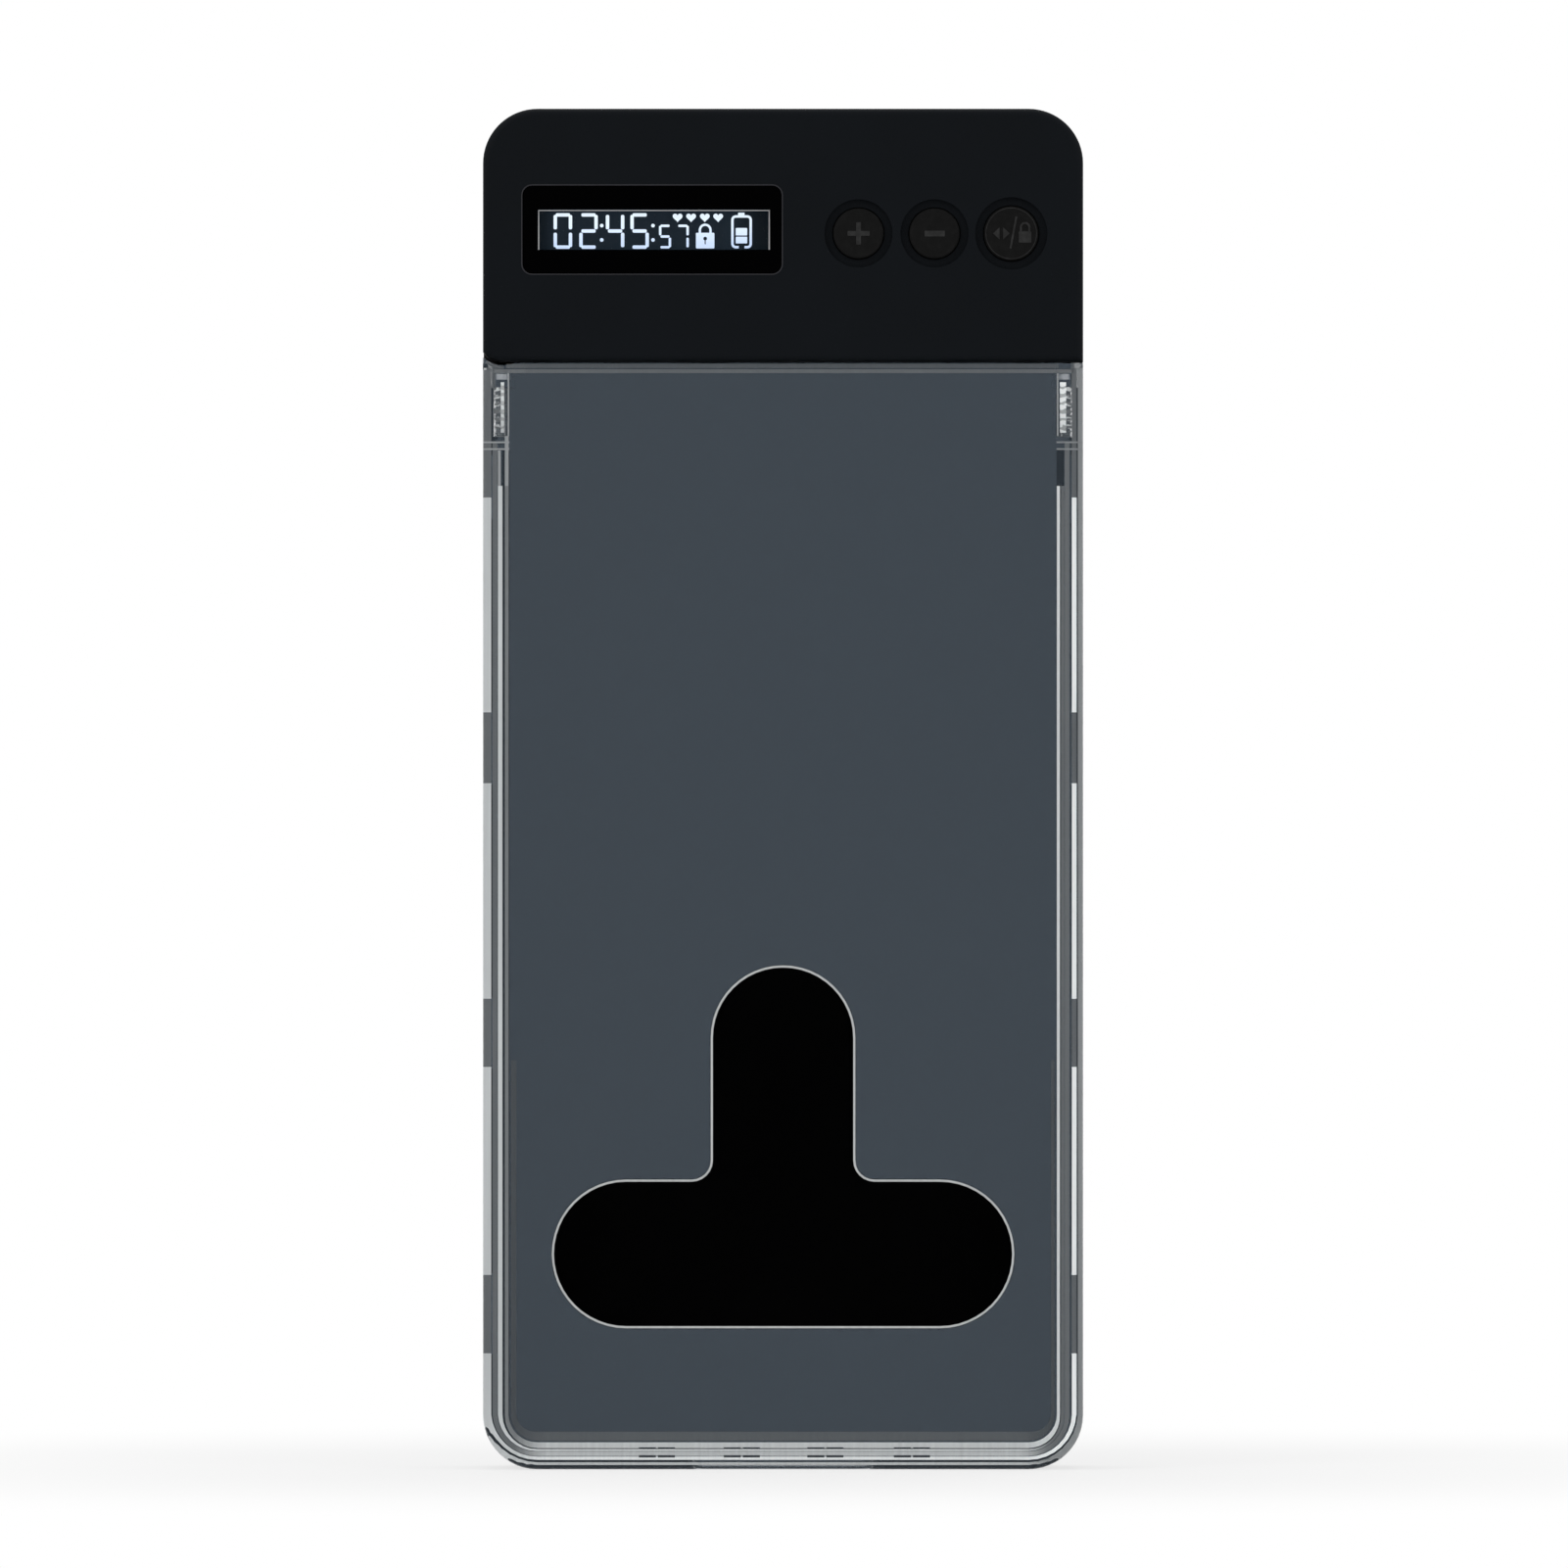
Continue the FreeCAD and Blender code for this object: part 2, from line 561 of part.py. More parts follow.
def rim_screws():
    """Two self-tapping screws; ridges stand out along the shank at the thread's pitch."""
    core, crest, pitch = number("thread_core"), number("thread_radius"), number("thread_pitch")
    tip, seat = number("screw_tip"), number("screw_seat")
    head_radius, head_depth, socket_radius, socket_depth = 1.6, 1.25, 0.75, 0.7
    profile = [(0, tip), (core * 0.5, tip)]
    height = tip + 0.4
    while height + pitch < number("boss_top"):
        profile += [(core, height), (crest, height + 0.3 * pitch), (core, height + 0.6 * pitch)]
        height += pitch
    top = seat + head_depth
    profile += [(core, seat), (head_radius, seat), (head_radius, top - 0.4), (head_radius - 0.4, top)]
    profile += [(socket_radius, top), (socket_radius, top - socket_depth), (0, top - socket_depth)]
    solids = []
    for side in (-1, 1):
        place = Vector(side * number("screw_across"), number("screw_depth"), 0)
        points = [place + Vector(out, 0, up) for out, up in profile + profile[:1]]
        face = Part.Face(Part.makePolygon(points))
        solids.append(face.revolve(place, Vector(0, 0, 1), 360))
    item = doc.addObject("Part::Feature", "rim_screws")
    item.Shape = Part.makeCompound(solids)
    item.Placement = FreeCAD.Placement()
    keep("rim_screws", item)


# Lock head

BUTTONS = [("plus_cap", "plus_across", "cap_radius"), ("minus_cap", "minus_across", "cap_radius"),
           ("lock_cap", "lock_across", "lock_cap_radius")]
COVER_SCREWS = [("-33", "168.3"), ("12.5", "168.3")]
BOARD_SCREWS = [("-35.2", "193.2"), ("-35.2", "175.2"), ("20.0", "193.6"), ("22.0", "175.2")]


def round_knuckle(piece, spans, whole):
    """Rounds the lower left corner about the hinge axis and trims it flush with the side."""
    spot = ("pivot_across", "pivot_height")
    for span in spans:
        piece.rod("Y", "knuckle_radius", span, spot)
    piece.cut_box(("-half_width - 3", "-half_width"), whole, ("pivot_height - 5", "pivot_height + 5"))


def head_front_cover():
    piece = Piece("head_front_cover")
    depth = ("front_face", "cover_back")
    piece.plate(("-half_width", "half_width"), ("lip_height", "head_top"), depth, "outer_radius", UPPER)
    piece.cut_box(("-half_width - 1", "pivot_across"), ("front_face - 1", "cover_back + 1"),
                  ("lip_height - 1", "pivot_height"))
    round_knuckle(piece, [depth], ("front_face - 1", "cover_back + 1"))
    piece.fillet("front_round", {"y": "front_face"})
    seat = ("front_face - 1", "front_face + window_depth + 0.05")
    piece.cut_plate(("window_left", "window_right"), ("window_low", "window_high"), seat, "window_round", ALL)
    piece.cut_plate(("window_left + window_rim", "window_right - window_rim"),
                    ("window_low + window_rim", "window_high - window_rim"), ("front_face", "cover_back + 1"))
    for label, across, radius in BUTTONS:
        spot = (across, "button_height")
        piece.cut_disc(f"{radius} + well_margin", spot, ("front_face - 1", "front_face + well_depth"))
        piece.cut_disc(f"{radius} + cap_play", spot, ("front_face", "cover_back + 1"))
    for middle in (-27, 0, 27):
        piece.box((f"{middle} - 3", f"{middle} + 3"), ("cover_back - 0.3", "cover_back + 1.9"),
                  ("head_top - tray_wall - 1.6", "head_top - tray_wall - 0.1"))
    for spot in COVER_SCREWS:
        piece.rod("Y", "1.9", ("cover_back - 0.3", "cover_back + 2.7"), spot)
        piece.cut_rod("Y", "0.95", ("cover_back - 0.8", "cover_back + 3"), spot)
    return piece


def head_housing():
    piece = Piece("head_housing")
    inside = ("cover_back", "back_face - tray_wall")
    piece.plate(("-half_width", "half_width"), ("head_floor", "head_top"), ("cover_back", "back_face"),
                "outer_radius", UPPER)
    piece.fillet("rear_round", {"y": "back_face", "z": ("head_floor + 0.01", "head_top")},
                 *[{"y": "back_face", "x": f"{side}half_width"} for side in ("-", "")])
    piece.cut_box(("-half_width - 1", "half_width + 1"), ("back_face - tray_wall - 0.2", "back_face + 1"),
                  ("head_floor - 1", "rear_start"))
    across = ("-(half_width - tray_wall)", "half_width - tray_wall")
    room_low = "head_floor + floor_depth"
    piece.cut_plate(across, (room_low, "head_top - tray_wall"), ("cover_back - 1", "back_face - tray_wall"),
                    "outer_radius - tray_wall", UPPER)

    # Rear step, closed behind the room
    piece.box(("-half_width + 1", "half_width - 1"), ("back_face - tray_wall - 1.4", "back_face - tray_wall - 0.2"),
              (f"{room_low} - 0.2", "rear_start + 1"))
    piece.box(("-half_width + 1", "half_width - 1"), ("back_face - tray_wall - 1.4", "back_face - tray_wall + 0.2"),
              ("rear_start", "rear_start + 1"))

    # Hinge cheeks
    slot = ("lug_front - 0.3", "lug_rear + 0.3")
    piece.box(("-half_width + 1", "-36.2"), ("cover_back", "back_face - tray_wall - 0.2"), ("head_floor", "171.6"))
    round_knuckle(piece, [("cover_back", slot[0]), (slot[1], "back_face - tray_wall - 0.2")],
                  ("cover_back - 1", "back_face + 1"))
    piece.cut_box(("-half_width - 1", "pivot_across + 3.5"), slot, ("head_floor - 5", "pivot_height + 3.8"))
    piece.cut_rod("Y", "pin_radius", ("cover_back - 1", "8.1"), ("pivot_across", "pivot_height"))

    # Skirt beside the strike post and recess for it
    piece.box(("half_width - tray_wall", "half_width"), ("cover_back", "recess_front"),
              ("lip_height", "head_floor + 1"))
    piece.box(("recess_inner - recess_wall", "half_width - 1"),
              ("recess_front - recess_wall", "back_face - tray_wall - 0.2"),
              ("head_floor", "recess_top + recess_wall"))
    piece.box(("recess_inner - recess_wall", "half_width - 1"),
              ("back_face - tray_wall - 1", "back_face - tray_wall + 0.2"),
              ("rear_start", "recess_top + recess_wall"))
    piece.cut_box(("recess_inner", "half_width + 1"), ("recess_front", "back_face - tray_wall"),
                  ("head_floor - 5", "recess_top"))
    piece.cut_box(("recess_inner - recess_wall - 1", "recess_inner + 1"),
                  ("bolt_front - 0.2", "bolt_rear + 0.2"), ("slider_low - 0.2", "slider_high + 0.3"))

    # Bosses for the cover's screws and posts for the board
    for spot in COVER_SCREWS:
        piece.rod("Y", "2.2", ("cover_back + 2.9", "back_face - tray_wall - 0.2"), spot)
        piece.cut_rod("Y", "2.1", ("cover_back - 1", "cover_back + 2.9"), spot)
        piece.cut_rod("Y", "1.1", ("cover_back", "back_face"), spot)
        piece.cut_rod("Y", "1.75", ("back_face - tray_wall - 1.6", "back_face"), spot)
    for spot in BOARD_SCREWS:
        piece.rod("Y", "1.6", ("board_front + board_depth", "back_face - tray_wall + 0.2"), spot)
        piece.cut_rod("Y", "0.8", ("board_front", "board_front + board_depth + 6"), spot)

    # Charging socket in the top wall
    piece.cut_column(("4.1", "13.3"), ("-4.15", "-0.65"), ("head_top - tray_wall - 1", "head_top + 1"), "1.65")
    return piece


def display_window():
    piece = Piece("display_window")
    gap = "0.06"
    x = (f"window_left + {gap}", f"window_right - {gap}")
    z = (f"window_low + {gap}", f"window_high - {gap}")
    piece.plate(x, z, ("front_face + 0.03", "front_face + window_depth + 0.03"), f"window_round - {gap}", ALL)
    piece.chamfer("0.2", {"y": "front_face + 0.03"})
    return piece


def lcd_panel():
    piece = Piece("lcd_panel")
    piece.plate(("-36.4", "-2.1"), ("177.6", "186.4"), ("cover_back + 0.2", "cover_back + 1.2"))
    piece.plate(("-36.4", "-2.1"), ("178.6", "186.4"), ("cover_back + 1.2", "cover_back + 1.8"))
    return piece


def lcd_frame():
    piece = Piece("lcd_frame")
    piece.plate(("-37.1", "-1.4"), ("176.9", "187.1"), ("cover_back + 0.8", "board_front"))
    piece.cut_plate(("-36.5", "-2.0"), ("177.5", "186.5"), ("cover_back", "cover_back + 1.85"))
    piece.chamfer("0.3", *[{"x": side, "z": level} for side in ("-37.1", "-1.4") for level in ("176.9", "187.1")])
    return piece


def circuit_board():
    piece = Piece("circuit_board")
    x = ("board_left", "board_right")
    z = ("board_low", "board_high")
    piece.plate(x, z, ("board_front", "board_front + board_depth"), "1.2", ALL)
    for spot in BOARD_SCREWS:
        piece.cut_disc("1.05", spot, ("board_front - 1", "board_front + board_depth + 1"))
    return piece


def board_chips():
    """Controller, drivers, coils, crystal and two lead sockets on the back of the board."""
    back = "board_front + board_depth"
    chips = [("controller", -20.0, 190.6, 6.6, 6.2, 1.0), ("driver", 19.3, 180.2, 5.0, 4.0, 1.2),
             ("charger", 1.0, 186.0, 3.0, 3.0, 0.9), ("coil", 1.5, 179.6, 3.4, 3.4, 1.4),
             ("crystal", -12.0, 191.6, 3.2, 1.5, 0.8), ("battery_socket", 2.0, 174.9, 6.0, 3.6, 3.2),
             ("motor_socket", 11.5, 176.2, 6.0, 3.6, 3.2), ("resistor_one", 6.8, 183.0, 1.0, 1.6, 0.5),
             ("resistor_two", 8.8, 183.0, 1.0, 1.6, 0.5), ("capacitor", -5.6, 191.4, 1.6, 2.4, 0.9)]
    solids = []
    for name, across, up, wide, tall, deep in chips:
        x = (f"{across} - {wide} / 2", f"{across} + {wide} / 2")
        z = (f"{up} - {tall} / 2", f"{up} + {tall} / 2")
        solids.append(block(name, x, (back, f"{back} + {deep}"), z))
    group("board_chips", solids)


def button_switches():
    solids = []
    for label, across, radius in BUTTONS:
        x = (f"{across} - 2.25", f"{across} + 2.25")
        z = ("button_height - 2.25", "button_height + 2.25")
        base = block(label + "_switch_base", x, ("board_front - 2", "board_front"), z)
        nub = cylinder(label + "_switch_nub", "Y", "0.9", ("board_front - 2.4", "board_front - 2"),
                       (across, "button_height"))
        solids.append(join(label + "_switch", [base, nub]))
    group("button_switches", solids)


def battery():
    piece = Piece("battery")
    x = ("-32", "-4")
    z = ("173.0", "189.6")
    y = ("1.6", "7.4")
    piece.plate(x, z, y)
    piece.fillet("2", *[{"x": side, "y": face} for side in x for face in y])
    piece.box(("-31", "-5"), ("3.9", "5.1"), ("189", "192.6"))
    return piece


def battery_pad():
    piece = Piece("battery_pad")
    piece.plate(("-30", "-6"), ("174.5", "188"), ("7.45", "back_face - tray_wall"))
    return piece


def usb_socket():
    piece = Piece("usb_socket")
    back = "board_front + board_depth"
    piece.column(("4.25", "13.15"), (back, "-0.8"), ("191.8", "head_top - 0.3"), "1.55")
    piece.cut_column(("4.55", "12.85"), (f"{back} + 0.3", "-1.1"), ("192.8", "head_top + 1"), "1.25")
    piece.box(("5.35", "12.05"), ("-2.75", "-2.05"), ("192.5", "head_top - 0.9"))
    return piece


def buzzer():
    piece = Piece("buzzer")
    spot = ("17.9", "187.6")
    back = "board_front + board_depth"
    piece.rod("Y", "4.2", (back, f"{back} + 3"), spot)
    piece.cut_rod("Y", "0.8", (f"{back} + 2", f"{back} + 4"), spot)
    piece.chamfer("0.3", {"y": f"{back} + 3"})
    return piece


MOTOR_SPAN = ("motor_across - motor_width / 2", "motor_across + motor_width / 2")
MOTOR_DEPTH = ("motor_depth - motor_flat / 2", "motor_depth + motor_flat / 2")
MOTOR_SPOT = ("motor_across", "motor_depth")


def motor():
    """A round can with two flats, and its rear bearing."""
    can = cylinder("motor_round", "Z", "motor_width / 2", ("motor_low", "motor_high"), MOTOR_SPOT)
    flats = block("motor_flats", MOTOR_SPAN, MOTOR_DEPTH, ("motor_low", "motor_high"))
    whole = doc.addObject("Part::MultiCommon", "motor_can")
    whole.Shapes = [can, flats]
    bearing = cylinder("motor_bearing", "Z", "2", ("motor_high - 0.1", "motor_high + 0.7"), MOTOR_SPOT)
    keep("motor", join("motor", [whole, bearing]))


def gearbox():
    """Two plates on four posts, with three reduction gears between them."""
    low, high = "gearbox_low", "motor_low"
    items = [block("gearbox_foot", MOTOR_SPAN, MOTOR_DEPTH, (low, f"{low} + 1")),
             block("gearbox_cap", MOTOR_SPAN, MOTOR_DEPTH, (f"{high} - 1", high))]
    for name, side, face in [("a", "-", "-"), ("b", "+", "-"), ("c", "-", "+"), ("d", "+", "+")]:
        spot = (f"motor_across {side} 4.9", f"motor_depth {face} 3.9")
        items.append(cylinder("gearbox_post_" + name, "Z", "0.7", (low, high), spot))
    for name, across, radius, level in [("one", 3.1, 2.4, 2.0), ("two", -3.1, 2.4, 3.4), ("three", 3.1, 2.4, 4.8)]:
        spot = (f"motor_across + {across}", "motor_depth")
        items.append(cylinder("gearbox_gear_" + name, "Z", radius, (f"{low} + {level}", f"{low} + {level} + 0.8"), spot))
        items.append(cylinder("gearbox_axle_" + name, "Z", "0.4", (low, high), spot))
    bore = cylinder("gearbox_bore", "Z", "shaft_radius + 0.05", (f"{low} - 1", f"{low} + 1.5"), MOTOR_SPOT)
    keep("gearbox", carve("gearbox", join("gearbox_parts", items), bore))


def motor_bracket():
    """A saddle round the motor's can, standing on the housing's rear wall."""
    piece = Piece("motor_bracket")
    z = ("184", "190")
    piece.box(("motor_across - 7.4", "motor_across + 7.4"), ("-3.1", "back_face - tray_wall"), z)
    piece.cut_box(("motor_across - 6.02", "motor_across + 6.02"), ("-1.55", "8.55"), ("183", "191"))
    piece.fillet("1", *[{"x": f"motor_across {side} 7.4", "y": "-3.1"} for side in ("-", "+")])
    return piece


def output_shaft():
    shaft = cylinder("output_shaft", "Z", "shaft_radius", ("head_floor + floor_depth + 0.2", "gearbox_low + 1.4"),
                     MOTOR_SPOT)
    keep("output_shaft", shaft)


def gear_outline(teeth, module, thinning):
    """Points of an involute gear's outline; the flanks are thinned by half the backlash."""
    pitch = module * teeth / 2
    base = pitch * math.cos(math.radians(20))
    tip = pitch + module
    root = pitch - 1.2 * module
    spread = math.tan(math.radians(20)) - math.radians(20)
    half = math.pi / (2 * teeth) - thinning / pitch
    steps = 6
    flank = [(root, half + spread)]
    for step in range(steps + 1):
        radius = base + (tip - base) * step / steps
        pressure = math.acos(base / radius)
        flank.append((radius, half + spread - (math.tan(pressure) - pressure)))
    points = []
    for tooth in range(teeth):
        middle = 2 * math.pi * tooth / teeth
        rising = [(radius, middle - angle) for radius, angle in flank]
        falling = [(radius, middle + angle) for radius, angle in reversed(flank)]
        points += [(radius * math.cos(angle), radius * math.sin(angle)) for radius, angle in rising + falling]
    return points


def drive_pinion():
    """The pinion; one tooth points at the rack, along -Y."""
    outline = gear_outline(int(number("gear_teeth")), number("gear_module"), number("gear_backlash") / 2)
    centre = Vector(number("motor_across"), number("motor_depth"), number("pinion_low"))
    points = [centre + Vector(across, depth, 0) for depth, across in [(-x, y) for x, y in outline]]
    face = Part.Face(Part.makePolygon(points + points[:1]))
    gear = face.extrude(Vector(0, 0, number("pinion_high - pinion_low")))
    bore = Part.makeCylinder(number("shaft_radius"), 10, centre - Vector(0, 0, 1))
    item = doc.addObject("Part::Feature", "drive_pinion")
    item.Shape = gear.cut(bore)
    item.Placement = FreeCAD.Placement()
    keep("drive_pinion", item)


def latch_slider():
    """A rack; its teeth face the pinion and leave a gap at the pinion's foremost tooth."""
    left, right = number("slider_left"), number("slider_right")
    front = number("slider_front")
    low, high = number("slider_low"), number("slider_high")
    module = number("gear_module")
    pitch_line = number("motor_depth") - module * number("gear_teeth") / 2
    step = math.pi * module
    addendum, dedendum = 0.65 * module, 1.2 * module
    root = pitch_line - dedendum
    slope = math.tan(math.radians(20))
    thin = number("gear_backlash") / 2
    half_tip = step / 4 - thin - addendum * slope
    half_root = step / 4 - thin + dedendum * slope
    points = [(left, front), (right, front), (right, root)]
    first = math.floor((right - number("motor_across")) / step - 1)
    teeth = 8
    for tooth in range(teeth):
        middle = number("motor_across") + (first - tooth + 0.5) * step
        points += [(middle + half_root, root), (middle + half_tip, pitch_line + addendum),
                   (middle - half_tip, pitch_line + addendum), (middle - half_root, root)]
    points += [(left, root)]
    corners = [Vector(across, depth, low) for across, depth in points]
    bar = Part.Face(Part.makePolygon(corners + corners[:1])).extrude(Vector(0, 0, high - low))
    socket = Part.makeBox(4, 1, 2, Vector(right - 4, number("bolt_front") + 0.5, low + 1))
    item = doc.addObject("Part::Feature", "latch_slider")
    item.Shape = bar.cut(socket)
    item.Placement = FreeCAD.Placement()
    keep("latch_slider", item)


def latch_bolt():
    """Steel bolt with a sloped lower nose and a tang that sits in the slider."""
    piece = Piece("latch_bolt")
    z = ("slider_low", "slider_high")
    piece.box(("slider_right", "bolt_tip"), ("bolt_front", "bolt_rear"), z)
    piece.chamfer("bolt_slope", {"x": "bolt_tip", "z": "slider_low"})
    piece.fillet("0.3", {"x": "bolt_tip", "z": "slider_high"})
    piece.box(("slider_right - 4", "slider_right"), ("bolt_front + 0.5", "bolt_front + 1.5"),
              ("slider_low + 1", "slider_low + 3"))
    return piece


def latch_guide():
    """Channel that the slider runs in: a bed, a front rail with a lip, and an end stop."""
    piece = Piece("latch_guide")
    bed = "head_floor + floor_depth"
    x = ("17.2", "recess_inner - recess_wall")
    piece.box(x, ("-5", "-0.35"), (bed, "slider_low - 0.1"))
    piece.box(x, ("-5", "slider_front - 0.15"), (bed, "slider_high + 0.6"))
    piece.box(("17.2", "slider_right"), ("-5", "slider_front + 0.6"), ("slider_high + 0.1", "slider_high + 0.6"))
    piece.box(("17.2", "18.6"), ("-5", "-0.35"), (bed, "slider_high + 0.6"))
    return piece


def hinge_pin():
    piece = Piece("hinge_pin")
    piece.rod("Y", "pin_radius", ("cover_back + 0.1", "8"), ("pivot_across", "pivot_height"))
    piece.chamfer("0.25", {"y": "cover_back + 0.1"}, {"y": "8"})
    return piece


def hinge_washers():
    spot = ("pivot_across", "pivot_height")
    rings = []
    for name, span in [("front", ("lug_front - 0.3", "lug_front - 0.05")),
                       ("rear", ("lug_rear + 0.05", "lug_rear + 0.3"))]:
        disc = cylinder(name + "_disc", "Y", "2.9", span, spot)
        bore = cylinder(name + "_bore", "Y", "pin_radius + 0.02", (f"{span[0]} - 1", f"{span[1]} + 1"), spot)
        rings.append(carve(name + "_washer", disc, bore))
    group("hinge_washers", rings)


def cover_screws():
    group("cover_screws", [screw(f"cover_screw_{place}", "back_face - tray_wall - 0.5", "cover_back + 0.3", spot)
                           for place, spot in enumerate(COVER_SCREWS, 1)])


def board_screws():
    group("board_screws", [screw(f"board_screw_{place}", "board_front - 1.1", "board_front + board_depth + 5",
                                 spot, shank="0.8") for place, spot in enumerate(BOARD_SCREWS, 1)])


def button_cap(label, across, radius):
    """A slightly dished cap with a flange behind the cover."""
    piece = Piece(label)
    spot = (across, "button_height")
    piece.rod("Y", radius, ("front_face + 0.1", "cover_back + 0.1"), spot)
    piece.rod("Y", f"{radius} + flange_margin", ("cover_back + 0.05", "cover_back + 0.05 + flange_depth"), spot)
    piece.fillet("0.35", {"y": "front_face + 0.1"})
    return piece


def tube(name, points, radius):
    """A wire lead: straight runs joined by arcs, as large as the runs allow."""
    points = [Vector(*point) for point in points]
    edges = []
    start = points[0]
    for before, corner, after in zip(points, points[1:], points[2:]):
        reach = 0.45 * min((corner - before).Length, (after - corner).Length)
        enter = corner + (before - corner).normalize() * reach
        leave = corner + (after - corner).normalize() * reach
        turn = (corner - before).getAngle(after - corner)
        radius_here = reach / math.tan(turn / 2)
        inward = ((enter + leave) * 0.5 - corner).normalize()
        middle = corner + inward * (radius_here / math.cos(turn / 2) - radius_here)
        edges += [Part.LineSegment(start, enter).toShape(), Part.Arc(enter, middle, leave).toShape()]
        print(name, "bend radius", round(radius_here, 2))
        start = leave
    edges.append(Part.LineSegment(start, points[-1]).toShape())
    path = Part.Wire(edges)
    section = Part.Wire(Part.makeCircle(radius, points[0], points[1] - points[0]))
    solid = path.makePipeShell([section], True, False)
    print(name, "volume ratio", round(solid.Volume / (math.pi * radius ** 2 * path.Length), 4))
    return solid


def leads(label, routes, radius):
    """Insulated leads between a part and its socket on the board."""
    item = doc.addObject("Part::Feature", label)
    item.Shape = Part.makeCompound([tube(f"{label}_{place}", route, radius) for place, route in enumerate(routes)])
    item.Placement = FreeCAD.Placement()
    keep(label, item)


def battery_leads():
    """From the cell's top tab, over its right side and down into the socket."""
    routes = []
    for side in (-1, 1):
        tab, plug = -6.5 + side * 0.8, 2.0 + side * 0.9
        routes.append([(tab, 4.5, 192.7), (tab, 4.4, 195.2), (tab + 4.9, 3.6, 195.2), (tab + 6.9, 1.9, 191.2),
                       (plug - 0.6, 0.4, 185.4), (plug, -1.9, 180.9), (plug, -1.9, 176.72)])
    leads("battery_leads", routes, 0.45)


def motor_leads():
    """From the side of the motor, past its bracket and down into the socket."""
    routes = []
    for side in (-1, 1):
        plug = 11.5 + side * 0.9
        routes.append([(24.85, 3.5 + side * 0.9, 195.3), (22.8, 3.5 + side * 0.9, 194.6),
                       (22.6, 3.7 + side * 0.8, 190.8), (21.9, 3.4 + side * 0.8, 186.4),
                       (19.2, 2.7 + side * 0.7, 183.0), (15.4 + side * 0.3, 1.2 + side * 0.4, 182.2),
                       (plug, -1.9, 181.3), (plug, -1.9, 178.02)])
    leads("motor_leads", routes, 0.4)


CASE = [front_shell, phone_cradle, rear_tray, strike_post, rim_screws]
HEAD = [head_front_cover, head_housing, display_window, lcd_panel, lcd_frame, circuit_board, board_chips,
        button_switches, battery, battery_pad, usb_socket, buzzer, motor, gearbox, motor_bracket,
        latch_guide, hinge_pin, hinge_washers, cover_screws, board_screws, battery_leads, motor_leads]
DRIVE = [latch_slider, latch_bolt, drive_pinion, output_shaft]
for make in CASE + HEAD + DRIVE:
    make()
for label, across, radius in BUTTONS:
    button_cap(label, across, radius)

doc.recompute()
for item in doc.Objects:
    if {"Invalid", "Error"} & set(item.State):
        raise ValueError(f"{item.Label} failed: {item.State}")
for label, item in nodes.items():
    if item.Shape.isNull() or not item.Shape.isValid():
        raise ValueError(f"{label} has no valid shape")

os.makedirs("parts", exist_ok=True)
for label, item in nodes.items():
    item.Shape.exportStep(f"parts/{label}.step")
    print(label, "solids", len(item.Shape.Solids), "volume", round(item.Shape.Volume, 2))
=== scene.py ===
import math

import bmesh
import bpy
from mathutils import Matrix, Vector


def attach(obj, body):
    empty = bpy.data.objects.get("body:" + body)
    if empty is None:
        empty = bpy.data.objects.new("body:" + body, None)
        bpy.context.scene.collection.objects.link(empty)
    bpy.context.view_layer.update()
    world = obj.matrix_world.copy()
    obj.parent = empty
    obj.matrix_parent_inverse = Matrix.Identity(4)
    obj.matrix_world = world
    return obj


# Looks for a timed lock container: clear front, black tray, and a black lock head with a display.

MM = 0.001
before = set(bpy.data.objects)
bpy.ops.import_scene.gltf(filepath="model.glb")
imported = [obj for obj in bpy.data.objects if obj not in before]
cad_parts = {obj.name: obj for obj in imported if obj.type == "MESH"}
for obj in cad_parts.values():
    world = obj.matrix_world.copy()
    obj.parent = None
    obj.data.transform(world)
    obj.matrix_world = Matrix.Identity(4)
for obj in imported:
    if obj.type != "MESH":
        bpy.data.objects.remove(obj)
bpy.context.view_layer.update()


# Shader maths

class Wire:
    """One output in a material. Sums, products and comparisons of wires add Math nodes."""

    def __init__(self, finish, socket):
        self.finish = finish
        self.socket = socket

    def maths(self, operation, *values):
        return self.finish.node("ShaderNodeMath", {"operation": operation}, dict(enumerate(values)))

    def __add__(self, other):
        return self.maths("ADD", self, other)

    def __sub__(self, other):
        return self.maths("SUBTRACT", self, other)

    def __mul__(self, other):
        return self.maths("MULTIPLY", self, other)

    def __rsub__(self, other):
        return self.maths("SUBTRACT", other, self)

    def __gt__(self, other):
        return self.maths("GREATER_THAN", self, other)

    def __lt__(self, other):
        return self.maths("LESS_THAN", self, other)

    __radd__ = __add__
    __rmul__ = __mul__

    def smooth(self, low, high):
        """0 below low, 1 above high, with a soft step between."""
        settings = {"interpolation_type": "SMOOTHSTEP"}
        span = {"Value": self, "From Min": low, "From Max": high}
        return self.finish.node("ShaderNodeMapRange", settings, span)

    def output(self, name):
        return Wire(self.finish, self.socket.node.outputs[name])


